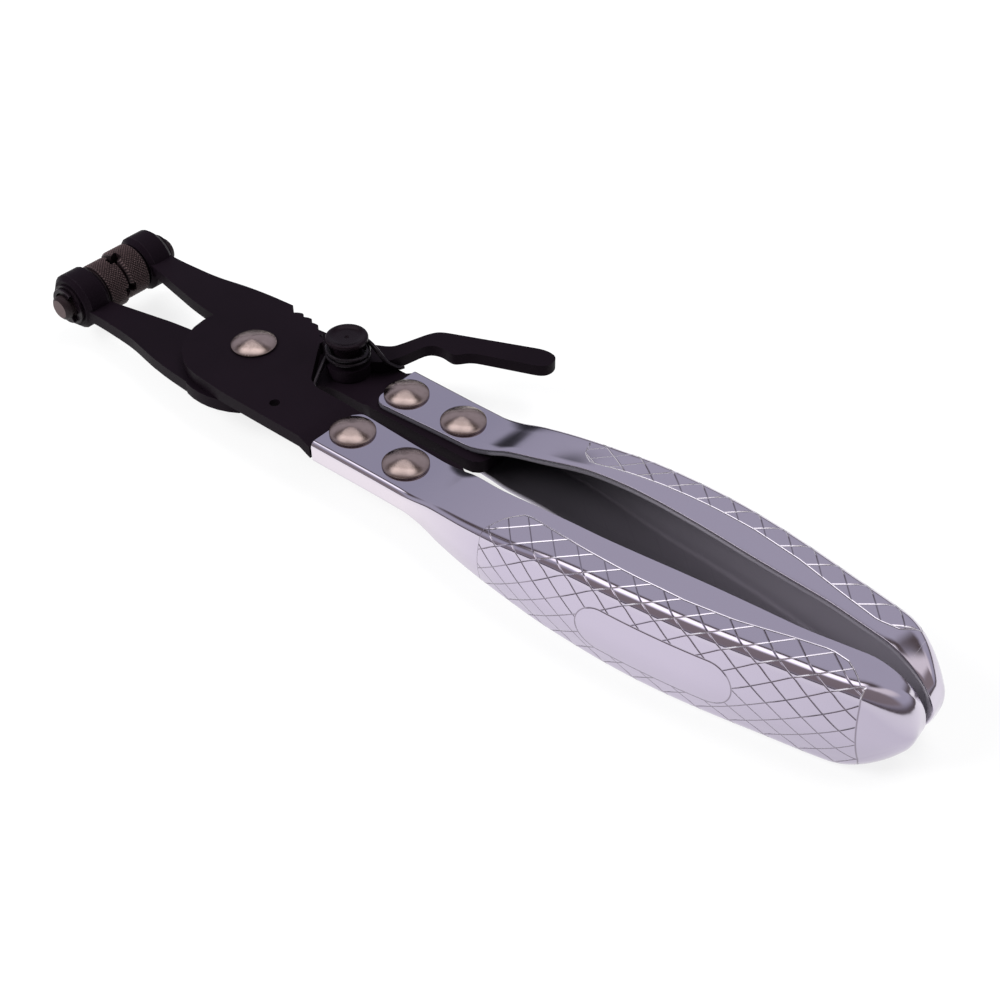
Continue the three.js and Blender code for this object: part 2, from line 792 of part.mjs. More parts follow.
// The handle's section at one place along X: inner edge, ridge, their half heights and corner.
function handleSection(x) {
  const share = (x - handleFront) / handleLength;
  const rise = planAt(share, 3);
  const fullRise = gripHalfHeight - neckHalfHeight;
  let inner = planAt(share, 1) * gripOuter;
  let outer = planAt(share, 2) * gripOuter;
  let half = neckHalfHeight + fullRise * rise;
  let edge = neckHalfHeight + fullRise * planAt(share, 4);
  let corner = neckCorner + (gripCorner - neckCorner) * rise;
  if (x > domeStart) {
    const into = (x - domeStart) / (handleEnd - domeStart);
    const tip = domeTipShare * gripOuter;
    outer = tip + (outer - tip) * falling(into, domeWidthPower);
    inner = tip + (inner - tip) * falling(into, domeTipPower);
    half *= falling(into, domeHeightPower);
    edge *= falling(into, domeEdgePower);
    corner += (half - corner) * into * into * domeCornerShare;
    corner = Math.min(corner, (outer - inner) * domeCornerShare, half * domeCornerShare);
  }
  return { inner, outer, half, edge, corner, crown: wallCrown * rise };
}

// A channel section at one place, for the outside or, set in by the sheet, for the hollow.
function sectionRing(x, { inner, outer, half, edge, corner, crown }) {
  const points = [[inner, edge]];
  const arcSteps = 3;
  const wallSteps = 6;
  for (let i = 0; i <= arcSteps; i += 1) {
    const [y, z] = polar(corner, 90 - (90 * i) / arcSteps, outer - corner, half - corner);
    points.push([y, z]);
  }
  for (let i = 1; i < wallSteps; i += 1) {
    const t = 1 - (2 * i) / wallSteps;
    points.push([outer + crown * (1 - t * t), t * (half - corner)]);
  }
  for (let i = 0; i <= arcSteps; i += 1) {
    const [y, z] = polar(corner, (-90 * i) / arcSteps, outer - corner, corner - half);
    points.push([y, z]);
  }
  points.push([inner, -edge]);
  return points.map(([y, z]) => new THREE.Vector3(x, -y, z));
}

function handleStations() {
  const stations = handlePlanShares.map(([share]) => handleFront + share * handleLength);
  const straight = stations.filter((x) => x < domeStart);
  const domeSteps = 9;
  const dome = [];
  for (let i = 0; i < domeSteps; i += 1) {
    const turn = ((Math.PI / 2) * i) / (domeSteps - 0.5);
    dome.push(domeStart + (handleEnd - domeStart) * Math.sin(turn));
  }
  return [...straight, ...dome];
}

function handle() {
  const stations = handleStations();
  const outside = stations.map((x) => sectionRing(x, handleSection(x)));
  const hollow = [];
  [handleFront - overrun, ...stations].forEach((x) => {
    const section = handleSection(Math.max(x, handleFront));
    const into = Math.max(x - domeStart, 0) / (handleEnd - domeStart);
    const inside = {
      inner: section.inner - overrun,
      outer: section.outer - sheet,
      half: section.half - sheet,
      edge: section.edge - sheet,
      corner: Math.max(section.corner - sheet, cavityLeastCorner),
      crown: section.crown,
    };
    const deepEnough = inside.outer - section.inner > sheet && inside.edge > sheet;
    if (deepEnough) hollow.push(sectionRing(x - sheet * into, inside));
  });
  const frontCorner = roundedShape(
    [
      [handleFront - overrun, 0],
      [handleFront + neckFrontRounding, 0],
      [handleFront, -planAt(0, 1) * gripOuter - neckFrontRounding],
      [handleFront - overrun, -planAt(0, 1) * gripOuter - neckFrontRounding],
    ],
    0,
  );
  const rivetHoles = [frontRivet, rearRivet].map((rivet) =>
    bar(
      rivetShankRadius + rivetShankClearance,
      -gripHalfHeight,
      gripHalfHeight,
      rivet.x,
      -rivet.y,
    ),
  );
  const corner = solid(prism(frontCorner, -gripHalfHeight, gripHalfHeight));
  return geometryOf(cut(solid(loft(outside)), [solid(loft(hollow)), corner, ...rivetHoles]));
}

// Finishes, one material for each piece.

const finishes = {
  blackened: { color: 0x1c1820, roughness: 0.55, metalness: 0.6 },
  browned: { color: 0x2a2224, roughness: 0.5, metalness: 0.7 },
  chromed: { color: 0xc9c4d2, roughness: 0.14, metalness: 1 },
  nickel: { color: 0xb0a39c, roughness: 0.28, metalness: 1 },
  springSteel: { color: 0x2c2a2e, roughness: 0.4, metalness: 0.9 },
};

const pliers = new THREE.Group();
pliers.position.z = pivotTailFace;

function place(name, geometry, finish, x = 0, y = 0) {
  const mesh = new THREE.Mesh(geometry, new THREE.MeshStandardMaterial(finishes[finish]));
  mesh.name = name;
  mesh.position.set(x, y, 0);
  pliers.add(mesh);
  return mesh;
}

place("upper_jaw_lever", upperLever(), "blackened");
place("lower_jaw_lever", lowerLever(), "blackened");
place("pivot_rivet", pivotRivet(), "nickel");
const washerBottom = -leverTop - pivotWasherThickness;
const washerInner = pivotShankRadius + pivotShankClearance;
place(
  "pivot_washer",
  ring(washerInner, pivotWasherRadius, washerBottom, -leverTop),
  "blackened",
);

// The upper lever's handle lies on the -Y side, and the lower lever's is the same one turned over.
for (const [level, side] of [
  ["upper", -1],
  ["lower", 1],
]) {
  const channel = place(level + "_handle", handle(), "chromed");
  channel.rotation.x = side > 0 ? Math.PI : 0;
  for (const [end, rivet] of [
    ["front", frontRivet],
    ["rear", rearRivet],
  ]) {
    place(level + "_handle_" + end + "_rivet", handleRivet(), "nickel", rivet.x, side * rivet.y);
  }
  for (const [piece, geometry, finish] of [
    ["swivel_jaw", swivelJaw(jawSlotTurns[level]), "browned"],
    ["jaw_washer", jawWasher(), "blackened"],
    ["jaw_clip", jawClip(), "browned"],
  ]) {
    const turnedOut = flipped(geometry, 1, -side, 1);
    place(level + "_" + piece, turnedOut, finish).position.z = jawHeight(-side);
  }
}

place("ratchet_pawl", pawl(), "blackened");
place("pawl_post", pawlPost(), "blackened", postX, postY);
const pawlWasherSeat = -leverGap / 2;
const pawlWasher = ring(
  postShoulderRadius + pawlClearance,
  pawlWasherRadius,
  pawlWasherSeat,
  pawlWasherSeat + pawlWasherThickness,
);
place("pawl_washer", pawlWasher, "blackened", postX, postY);

const wirePath = springPath();
const springGap = leastGapToItself(wirePath, wireDiameter);
console.log("pawl spring: least gap to itself " + springGap.toFixed(2) + " mm");
place("pawl_spring", tube(wirePath, wireDiameter / 2, wireSides), "springSteel");

export default pliers;
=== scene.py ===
# %% [markdown]
# # Hose clamp pliers
#
# These pliers open the spring bands that hold hoses in a car. Two black steel levers cross on one
# rivet. At one end each lever carries a short knurled roller that grips a tab of the band, and at
# the other end a bright pressed handle. A small sprung pawl drops into teeth on one lever and
# keeps the jaws closed, so that both hands are free.
#
# The packed model already has every piece at its true place. This lesson dresses those pieces:
# it rebuilds the ones whose close-up shape matters, and gives each a finish worked out in nodes.
# Its zero lies at the tail of the pivot rivet. The levers and handles lie evenly about a plane a
# little higher, so most heights here are counted from that middle plane.

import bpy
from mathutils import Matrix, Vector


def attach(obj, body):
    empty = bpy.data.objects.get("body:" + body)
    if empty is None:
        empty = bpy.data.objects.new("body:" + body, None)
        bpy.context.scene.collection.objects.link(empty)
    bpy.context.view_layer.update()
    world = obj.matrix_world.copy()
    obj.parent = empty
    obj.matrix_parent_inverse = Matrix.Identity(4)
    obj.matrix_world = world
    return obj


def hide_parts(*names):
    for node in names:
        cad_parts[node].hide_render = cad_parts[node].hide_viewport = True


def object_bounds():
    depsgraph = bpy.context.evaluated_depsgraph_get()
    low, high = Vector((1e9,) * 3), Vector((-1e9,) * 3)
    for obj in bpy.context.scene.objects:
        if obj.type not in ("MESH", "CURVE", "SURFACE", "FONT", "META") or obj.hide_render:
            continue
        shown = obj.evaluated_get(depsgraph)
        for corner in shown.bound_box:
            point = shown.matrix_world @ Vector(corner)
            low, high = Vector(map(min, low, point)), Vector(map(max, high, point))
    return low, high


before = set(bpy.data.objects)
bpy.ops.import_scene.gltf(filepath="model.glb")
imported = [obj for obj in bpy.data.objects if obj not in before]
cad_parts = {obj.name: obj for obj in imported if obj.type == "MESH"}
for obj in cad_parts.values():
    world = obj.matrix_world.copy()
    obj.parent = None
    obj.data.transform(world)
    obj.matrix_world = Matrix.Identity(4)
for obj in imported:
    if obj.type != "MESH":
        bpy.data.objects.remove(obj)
cad_box = [list(corner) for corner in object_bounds()]

import math

import bmesh
import bpy
from mathutils import Matrix, Vector

MM = 0.001
MIDDLE = 5.4 * MM

# %% [markdown]
# ## Where the camera stands
#
# The camera was worked out from the photograph: five equal rivet heads and the two handles, which
# are one pressing used twice, fix its place and its lens. It looks down at about 42 degrees over
# the near handle. A camera looks along its own -Z axis, so the vector that points from the tool
# back to the camera is what its Z axis is turned onto. That keeps the picture level. The lamps
# are placed and turned in the same way later on.

# %% Make the camera
CAMERA_AZIMUTH, CAMERA_ELEVATION = 39.504, 41.584
CAMERA_PLACE = (0.215567, -0.173636, 0.201754)
LENS = 52.488
SENSOR_WIDTH = 36
CLIP_START = 10 * MM


def added(name, data):
    """A new object that shows some data, in the scene and at its origin."""
    thing = bpy.data.objects.new(name, data)
    bpy.context.scene.collection.objects.link(thing)
    return thing


def toward(azimuth, elevation):
    """The direction at an azimuth, counted from -Y, and an elevation, both in degrees."""
    azimuth, elevation = math.radians(azimuth), math.radians(elevation)
    return Vector((
        math.sin(azimuth) * math.cos(elevation), -math.cos(azimuth) * math.cos(elevation),
        math.sin(elevation),
    ))


def aim(thing, back):
    """Turns a camera or a lamp so that it looks away from the direction behind it."""
    thing.rotation_mode = "QUATERNION"
    thing.rotation_quaternion = back.to_track_quat("Z", "Y")


camera = added("camera", bpy.data.cameras.new("camera"))
camera.data.sensor_width = SENSOR_WIDTH
camera.data.lens = LENS
camera.data.clip_start = CLIP_START
back = toward(CAMERA_AZIMUTH, CAMERA_ELEVATION)
aim(camera, back)
camera.location = CAMERA_PLACE
bpy.context.scene.camera = camera
print("camera looks along", [round(-part, 3) for part in back])

# %% [markdown]
# ## Shader maths as plain expressions
#
# A finish is a small calculation that runs at every point of a surface. Building it node by node
# in code is hard to read, so one class wraps a node's output and lets Python's own operators add
# the Math nodes: `1 - mask` becomes a Subtract node. Each operator has two methods: a plain one,
# and a reflected one, such as `__rsub__`, which lets a plain number stand first.

# %% Wrap a node's output in Python operators
def operator(operation):
    """The plain and the reflected method of an operator that adds a Math node."""
    def plain(self, other):
        return self.math(operation, self, other)

    def reflected(self, other):
        return self.math(operation, other, self)

    return plain, reflected


class Field:
    """A value that the shader works out at each point of a surface."""

    def __init__(self, graph, socket):
        self.graph = graph
        self.socket = socket

    def math(self, operation, *values, clamp=False):
        settings = {"operation": operation, "use_clamp": clamp}
        return self.graph.node("ShaderNodeMath", settings, dict(enumerate(values)))

    __add__, __radd__ = operator("ADD")
    __sub__, __rsub__ = operator("SUBTRACT")
    __mul__, __rmul__ = operator("MULTIPLY")
    __truediv__, __rtruediv__ = operator("DIVIDE")
    __pow__, __rpow__ = operator("POWER")

    def __abs__(self):
        return self.math("ABSOLUTE", self)

    def least(self, other):
        return self.math("MINIMUM", self, other)

    def most(self, other):
        return self.math("MAXIMUM", self, other)

    def clamped(self):
        return self.math("ADD", self, 0, clamp=True)

    def fraction(self):
        return self.math("FRACT", self)

    def sine(self):
        return self.math("SINE", self)


print("a field can", [name for name in vars(Field) if name[0] != "_"])

# %% [markdown]
# ## One way to add a node
#
# Every node, in a material or in the world, comes from the one `node` method: it takes the node's
# type, the settings that change its sockets, and then the sockets' values or links. The node's
# output comes back as a `Field`, ready for the operators.

# %% Define a graph of nodes
class Graph:
    """A node tree with one way to add nodes to it."""

    def __init__(self, tree):
        self.tree = tree

    def node(self, kind, settings=None, inputs=None, output=0):
        node = self.tree.nodes.new(kind)
        for name, value in (settings or {}).items():
            setattr(node, name, value)
        for name, value in (inputs or {}).items():
            self.feed(node.inputs[name], value)
        return Field(self, node.outputs[output])

    def feed(self, socket, value):
        if isinstance(value, Field):
            self.tree.links.new(value.socket, socket)
        else:
            socket.default_value = value

    def parts(self, vector):
        first = self.node("ShaderNodeSeparateXYZ", None, {"Vector": vector})
        return [Field(self, output) for output in first.socket.node.outputs]

    def mix(self, share, first, second):
        settings = {"data_type": "RGBA", "clamp_factor": True}
        return self.node("ShaderNodeMix", settings, {0: share, 6: first, 7: second}, 2)

    def shaders(self, share, first, second):
        return self.node("ShaderNodeMixShader", None, {0: share, 1: first, 2: second})

    def ray(self, kind):
        """1 where the surface is seen by one kind of ray, such as Camera or Glossy."""
        return self.node("ShaderNodeLightPath", output=f"Is {kind} Ray")


print("a graph can", [name for name in vars(Graph) if name[0] != "_"])

# %% [markdown]
# ## One finish, one material
#
# A finish is a graph that starts from the Principled shader. What is the same all over the surface
# is set on the shader's own sockets, because the export keeps those. What changes from place to
# place is worked out by nodes and wired in.

# %% Define a finish
class Finish(Graph):
    """A material built up from nodes, with short ways to read places and make noise."""

    def __init__(self, name, **constants):
        self.material = bpy.data.materials.new(name)
        self.material.use_nodes = True
        super().__init__(self.material.node_tree)
        self.shader = self.tree.nodes["Principled BSDF"]
        self.give(**constants)

    def give(self, **values):
        for socket, value in values.items():
            self.feed(self.shader.inputs[socket.replace("_", " ")], value)

    def place(self):
        return self.node("ShaderNodeTexCoord", output="Object")

    def written(self, name):
        settings = {"attribute_type": "GEOMETRY", "attribute_name": name}
        return self.node("ShaderNodeAttribute", settings, output="Fac")

    def noise(self, scale, detail, roughness=0.5):
        inputs = {
            "Vector": self.place(), "Scale": scale, "Detail": detail, "Roughness": roughness,
        }
        return self.node("ShaderNodeTexNoise", None, inputs)

    def bump(self, height, distance, strength, below=None):
        inputs = {"Height": height, "Distance": distance, "Strength": strength}
        if below is not None:
            inputs["Normal"] = below
        return self.node("ShaderNodeBump", None, inputs)


def rgb(red, green, blue):
    """A colour as it is seen, from 0 to 255, as the linear numbers that a shader takes."""
    def linear(part):
        part /= 255
        return part / 12.92 if part <= 0.04045 else ((part + 0.055) / 1.055) ** 2.4
    return (linear(red), linear(green), linear(blue), 1)


print("a seen mid grey is", [round(part, 3) for part in rgb(128, 128, 128)])

# %% [markdown]
# ## Black oxide
#
# The levers, the pawl and its post are stamped or turned steel, blackened in a hot salt bath. The
# coat is thin and dull, it keeps the fine grain of the rolled plate, and it wears through first
# where edges rub. Bevelled edges carry an attribute called `worn`, written when the bevel is made,
# and the finish lets a broken, slightly lighter tone through there.

# %% Mix the black oxide
def black_oxide(name, tone, roughness, shine):
    finish = Finish(name, Metallic=0.0, Specular_IOR_Level=shine, Specular_Tint=(1, 0.8, 0.93, 1))
    grain = finish.noise(2600, 2, 0.6)
    cloud = finish.noise(55, 4, 0.6)
    patch = finish.noise(700, 3, 0.7)
    worn = (finish.written("worn") * (patch * 2.2 - 0.6)).clamped()
    dark = tuple(part * 0.72 for part in tone[:3]) + (1,)
    bath = finish.mix((cloud * 2.4 - 0.7).clamped(), dark, tone)
    finish.give(
        Base_Color=finish.mix(worn * 0.5, bath, rgb(60, 53, 60)),
        Roughness=roughness + (cloud - 0.5) * 0.16 + (grain - 0.5) * 0.1 - worn * 0.12,
        Normal=finish.bump(grain * 0.5 + patch * 0.5, 0.03 * MM, 0.5),
    )
    return finish.material


plate_black = black_oxide("plate_black_oxide", rgb(18, 12, 18), 0.5, 0.05)
turned_black = black_oxide("turned_black_oxide", rgb(17, 11, 16), 0.3, 0.13)
print("made", plate_black.name, "and", turned_black.name)

# %% [markdown]
# ## Brown knurled steel
#
# The rollers came out of a different bath, so they are browner, and their diamond points are
# rubbed bright. The knurl is real relief in the mesh. An attribute called `peak` is 1 on each
# point and 0 in the valleys, which lets the tips shine and the valleys stay dark and oily.

# %% Mix the knurled steel
def knurled_steel():
    finish = Finish("roller_brown_steel", Metallic=0.2, Specular_IOR_Level=0.25)
    peak = finish.written("peak")
    worn = finish.written("worn")
    grain = finish.noise(1900, 3, 0.6)
    tips = (peak * (grain * 1.4)).clamped()
    body = finish.mix(finish.noise(240, 3), rgb(25, 17, 20), rgb(36, 26, 29))
    finish.give(
        Base_Color=finish.mix((tips * 0.8 + worn * 0.35).clamped(), body, rgb(118, 98, 98)),
        Roughness=0.5 - tips * 0.14 + (grain - 0.5) * 0.14,
        Normal=finish.bump(grain, 0.02 * MM, 0.4),
    )
    return finish.material


roller_brown = knurled_steel()
print("made", roller_brown.name)

# %% [markdown]
# ## Spun rivet heads
#
# A rivet head is formed by a spinning tool, which leaves fine rings round the axis. They aren't
# seen one by one, but they smear the highlight across themselves into a bright cone that runs
# from the middle to the rim. The rings are bump: a sine wave of the attribute called `radius`,
# which every turned piece carries, so one material serves all the rivets. They fade out at the
# middle and toward the rim, where the plating is also painted a little darker, as shade round
# the head's edge.

# %% Mix the rivet plating
RING_RATE = 42 / MM
FIRST_RING, LAST_RING = 0.9 * MM, 4.7 * MM
RIM_SHADE_REACH = 5 * MM


def spun_plating():
    finish = Finish("rivet_warm_plating", Metallic=1.0)
    radius = finish.written("radius")
    drift = finish.noise(380, 3, 0.6)
    rings = (radius * RING_RATE + drift * 2).sine()
    stain = finish.noise(900, 4, 0.7)
    # Painted shade: the plating darkens toward the rim of the head.
    edge = ((radius / RIM_SHADE_REACH) ** 9).clamped()
    rings = rings * (radius / FIRST_RING).clamped() * (1 - (radius / LAST_RING) ** 3).clamped()
    metal = finish.mix(stain, rgb(164, 146, 140), rgb(194, 177, 170))
    finish.give(
        # Painted shade at the rim, mixed over the plating's own tones.
        Base_Color=finish.mix(edge * 0.5, metal, rgb(110, 98, 94)),
        Roughness=0.16 + (stain - 0.5) * 0.1 + edge * 0.1,
        Normal=finish.bump(rings, 0.006 * MM, 0.9),
    )
    return finish.material


rivet_plating = spun_plating()
print("made", rivet_plating.name)

# %% [markdown]
# ## Spring wire
#
# Oil-tempered wire is nearly black, smoother than the levers, with drawing lines along its length
# that are too fine to see at this distance. Noise in the roughness is enough to break its shine.

# %% Mix the spring wire
def spring_wire():
    finish = Finish("spring_wire_steel", Metallic=0.8)
    scale = finish.noise(1500, 3, 0.6)
    finish.give(
        Base_Color=finish.mix(scale, rgb(26, 22, 27), rgb(48, 43, 48)),
        Roughness=0.2 + scale * 0.16,
        Normal=finish.bump(scale, 0.004 * MM, 0.4),
    )
    return finish.material


wire_steel = spring_wire()
print("made", wire_steel.name)

# %% [markdown]
# ## Engraved chrome
#
# The handles are bright plated, with a diamond pattern cut by the press: two families of shallow
# grooves cross at even steps along the handle and run on over the bend. A UV map written with the
# mesh counts the cells along and round the handle, so the lines of one family are where the sum
# of both numbers passes a whole number, and the other family's where their difference does.
#
# The pattern stops at a line round its panel, and leaves a bare, round-ended patch on the outer
# wall. The panel's edge comes from an attribute called `panel`, the distance inside it, and the
# patch is a formula on Object coordinates: the distance to a line segment less a radius. The
# inside of the channel was never polished: the attribute `inner` is 1 there, and makes it dull,
# and painted darker toward the neck as shade, deep in the narrow channel.
#
# The flanges and the wall take painted reflection tones that grow lighter or darker along the
# handle, and the attribute `flange` tells them apart. On the flanges the press leaned the rising
# grooves over: one flank is wide and carries a painted highlight, the other is steep and narrow.
# There the UV map's second number says where the flange begins, because the grooves are counted
# in it.

# %% Name the engraving's sizes
CELL = 6.5 * MM
GROOVE = 0.2 * MM
WIDE_FLANK, NARROW_FLANK = -1.5 * GROOVE, 0.5 * GROOVE
STEEP_LINES, RISING_LINES = 0.56, 0.13
WALL_CELLS, BEND_CELLS = 1.75, 0.25
PATCH_MIDDLE = 122.85 * MM
PATCH_HALF_LENGTH = 16.1 * MM
PATCH_RADIUS = 5.2 * MM
# Places along the handle where the painted reflection tones of wall and flange change.
NECK_REFLECTION_FADE = (60 * MM, 88 * MM)
REAR_REFLECTION_FADE = (130 * MM, 164 * MM)
# Where the painted shade inside the channel fades out along the handle.
INNER_SHADE_FADE = (62 * MM, 152 * MM)
print("a groove reaches", GROOVE / MM, "mm to each side, in cells of", CELL / MM, "mm")

# %% [markdown]
# With the sizes named, the finish itself reads from top to bottom: first the ways to measure a
# distance, then the masks for grooves and borders, and then the tones, which are mixed from the
# plain metal outwards.

# %% Mix the engraved chrome
def engraved_chrome():
    finish = Finish("engraved_chrome", Metallic=1.0)
    counted = finish.node("ShaderNodeUVMap", {"uv_map": "engraving"})
    along, across, _ = finish.parts(counted)
    x, _, z = finish.parts(finish.place())

    def past_line(count):
        """How far a point lies past the nearest line of a family, in metres."""
        return ((count + 0.5).fraction() - 0.5) * (CELL / math.sqrt(2))

    def groove(distance):
        return (1 - abs(distance) / GROOVE).clamped()

    def leaning_groove(distance):
        return (1 - (distance / NARROW_FLANK).most(distance / WIDE_FLANK)).clamped()

    def from_to(start, end):
        """0 before one place along the handle, 1 past the other, and even between them."""
        return ((x - start) / (end - start)).clamped()

    past_end = (abs(x - PATCH_MIDDLE) - (PATCH_HALF_LENGTH - PATCH_RADIUS)).most(0)
    height = z - MIDDLE
    to_patch = (past_end * past_end + height * height) ** 0.5 - PATCH_RADIUS
    panel = finish.written("panel")
    inside = (panel.least(to_patch) / GROOVE).clamped()
    on_flange = ((abs(across) - WALL_CELLS) / BEND_CELLS).clamped()
    steep = groove(past_line(along + across - STEEP_LINES))
    rising = past_line(along - across - RISING_LINES)
    leaning = leaning_groove(rising) * on_flange
    lines = steep.most(groove(rising) * (1 - on_flange)).most(leaning)
    borders = groove(panel).most(groove(to_patch))
    inner = finish.written("inner")
    cut = (lines * inside).most(borders) * (1 - inner)
    # Painted highlight: the wide flanks of the leaning grooves and the borders on the flanges.
    painted_flank_highlight = (leaning * inside).most(borders * on_flange)
    haze = finish.noise(160, 4, 0.6)
    dents = finish.noise(34, 2, 0.5)
    surface = finish.bump(dents, 0.25 * MM, 0.12)
    # Painted reflection: the wall and flange tones change along the handle as their reflections do.
    past_neck = from_to(*NECK_REFLECTION_FADE)
    wall = finish.mix(past_neck, rgb(226, 217, 226), rgb(197, 188, 207))
    wall = finish.mix(from_to(*REAR_REFLECTION_FADE), wall, rgb(184, 176, 194))
    flange = finish.mix(past_neck, rgb(190, 185, 200), rgb(212, 205, 218))
    painted_reflection_tone = finish.mix(finish.written("flange"), wall, flange)
    # Painted shade: the grooves and the panel's border lines are darkened in the colour.
    polish_with_painted_light = finish.mix(cut * 0.75, painted_reflection_tone, rgb(104, 94, 104))
    # The painted highlight is laid over the wide flanks.
    polish_with_painted_light = finish.mix(painted_flank_highlight * 1.5, polish_with_painted_light, rgb(246, 243, 250))
    # Painted shade: the dull inside of the channel darkens toward the neck.
    unpolished_and_shaded_inside = finish.mix(from_to(*INNER_SHADE_FADE), rgb(34, 31, 35), rgb(144, 138, 150))
    finish.give(
        Base_Color=finish.mix(inner, polish_with_painted_light, unpolished_and_shaded_inside),
        Metallic=1 - inner * 0.6,
        Roughness=0.1 + (haze - 0.5) * 0.08 + cut * 0.12 + painted_flank_highlight * 0.15 + inner * 0.4,
        Normal=finish.bump(1 - cut, 0.12 * MM, 0.8, below=surface),
    )
    return finish.material


handle_chrome = engraved_chrome()
print("made", handle_chrome.name)

# %% [markdown]
# ## From a bmesh to a dressed piece
#
# Each new piece is made in a bmesh, in metres and at its final place, so its object can stay at
# the origin. It then rides on a body of the packed model, takes its material, and stands for the
# packed node that it replaces, which is hidden. Faces are smooth, and edges sharper than a given
# angle stay crisp.

# %% Helpers that finish a piece
def to_mesh(bm, name):
    """The mesh that a finished bmesh makes. The bmesh is done with after that."""
    mesh = bpy.data.meshes.new(name)
    bm.to_mesh(mesh)
    bm.free()
    return mesh


def dress(node, how, bm, body, material, crisp=35):
    """Makes the piece that stands for a packed node, and names it by the way it was made."""
    name = f"{node}_{how}"
    bmesh.ops.recalc_face_normals(bm, faces=bm.faces)
    mesh = to_mesh(bm, name)
    mesh.materials.append(material)
    mesh.shade_smooth()
    mesh.set_sharp_from_angle(angle=math.radians(crisp))
    piece = added(name, mesh)
    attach(piece, body)
    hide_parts(node)
    print(name, "has", len(mesh.polygons), "faces")
    return piece


# %% [markdown]
# Two more helpers serve every piece with rounded edges: one finds the edges where a mesh folds,
# and one bevels them and notes the new faces as worn. A third makes a piece's modifiers real, so
# that nothing live stays on it.

# %% Helpers for edges and modifiers
WELD = 0.002 * MM


def soften(bm, edges, width, segments=2):
    """Rounds edges and notes their new faces as worn."""
    worn = bm.faces.layers.float.get("worn") or bm.faces.layers.float.new("worn")
    made = bmesh.ops.bevel(
        bm, geom=edges, offset=width, offset_type="OFFSET", segments=segments,
        profile=0.5, affect="EDGES", material=-1, clamp_overlap=True,
    )
    for face in made["faces"]:
        face[worn] = 1


def folded(bm, degrees, less_than=180):
    """The edges where two faces meet at more than an angle."""
    low, high = math.radians(degrees), math.radians(less_than)
    return [
        edge for edge in bm.edges
        if len(edge.link_faces) == 2 and low < edge.calc_face_angle() <= high
    ]


def make_real(piece):
    """Gives a piece the mesh that its modifiers make of it, and drops the modifiers."""
    graph = bpy.context.evaluated_depsgraph_get()
    finished = piece.evaluated_get(graph)
    mesh = bpy.data.meshes.new_from_object(
        finished, preserve_all_data_layers=True, depsgraph=graph,
    )
    piece.modifiers.clear()
    piece.data = mesh


print("points nearer than", round(WELD / MM, 3), "mm are welded")

# %% [markdown]
# ## Stamped plates
#
# The levers and the pawl have their exact outline in the packed model. What a plain solid lacks is
# the small rounding that tumbling leaves on every stamped edge, and that rounding is what catches
# the light. So a copy of the node is merged from loose triangles into a real skin, its flat
# triangles are dissolved into whole faces, and its folds are bevelled. The node itself is never
# touched.
#
# A bevel has a side effect: the wide flat faces next to it begin to shade as if they were curved,
# since their corners share a normal with the bevel. The Weighted Normal modifier gives the wide
# faces their say back, and is made real at once.
#
# Two places are rounder than the rest: the tips of the ratchet's teeth, whose long backs are also
# swelled to a convex curve, and the edges of the chamfered bosses that hold the jaws.

# %% Find the teeth and the bosses
EDGE_ROUNDING = 0.3 * MM
BOSS_ROUNDING = 0.8 * MM
TOOTH_ROUNDING = 0.5 * MM
TOOTH_TIP, TOOTH_ROOT = 15.8 * MM, 14.9 * MM
SHORTEST_BACK, LONGEST_BACK = 2 * MM, 3 * MM
TOOTH_SWELL = 0.3 * MM
BOSS_END = -41 * MM
NEARLY = 0.01 * MM


def from_node(node):
    bm = bmesh.new()
    bm.from_mesh(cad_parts[node].data)
    bmesh.ops.remove_doubles(bm, verts=bm.verts, dist=WELD)
    bmesh.ops.dissolve_limit(
        bm, angle_limit=math.radians(1), verts=bm.verts, edges=bm.edges,
        use_dissolve_boundaries=False, delimit=set(),
    )
    return bm


def at_radius(vert, radius):
    return abs(vert.co.xy.length - radius) < NEARLY


def swell_tooth_backs(bm):
    """Gives the long back of each ratchet tooth a convex curve."""
    backs = [
        edge for edge in bm.edges
        if SHORTEST_BACK < edge.calc_length() < LONGEST_BACK
        and any(at_radius(vert, TOOTH_TIP) for vert in edge.verts)
        and any(at_radius(vert, TOOTH_ROOT) for vert in edge.verts)
    ]
    cut = bmesh.ops.subdivide_edges(bm, edges=backs, cuts=3, use_grid_fill=True)
    for vert in cut["geom_inner"]:
        if isinstance(vert, bmesh.types.BMVert):
            radius = vert.co.xy.length
            share = (TOOTH_TIP - radius) / (TOOTH_TIP - TOOTH_ROOT)
            vert.co.xy *= 1 + 4 * share * (1 - share) * TOOTH_SWELL / radius
    return len(backs)


def tooth_tips(bm):
    """The upright edges at the tips of the ratchet's teeth."""
    return [
        edge for edge in folded(bm, 20)
        if all(at_radius(vert, TOOTH_TIP) for vert in edge.verts)
        and abs(edge.verts[0].co.z - edge.verts[1].co.z) > MM
    ]


def boss_rings(bm):
    """Both edges of the chamfers round the jaw boss."""
    return [
        edge for edge in folded(bm, 40, 50)
        if all(vert.co.x < BOSS_END for vert in edge.verts)
    ]


print("a tooth is", round((TOOTH_TIP - TOOTH_ROOT) / MM, 2), "mm high")

# %% [markdown]
# The copy is made in one order: first the curve of the teeth's backs, then the wide roundings, and
# last the narrow one, on whatever still folds.

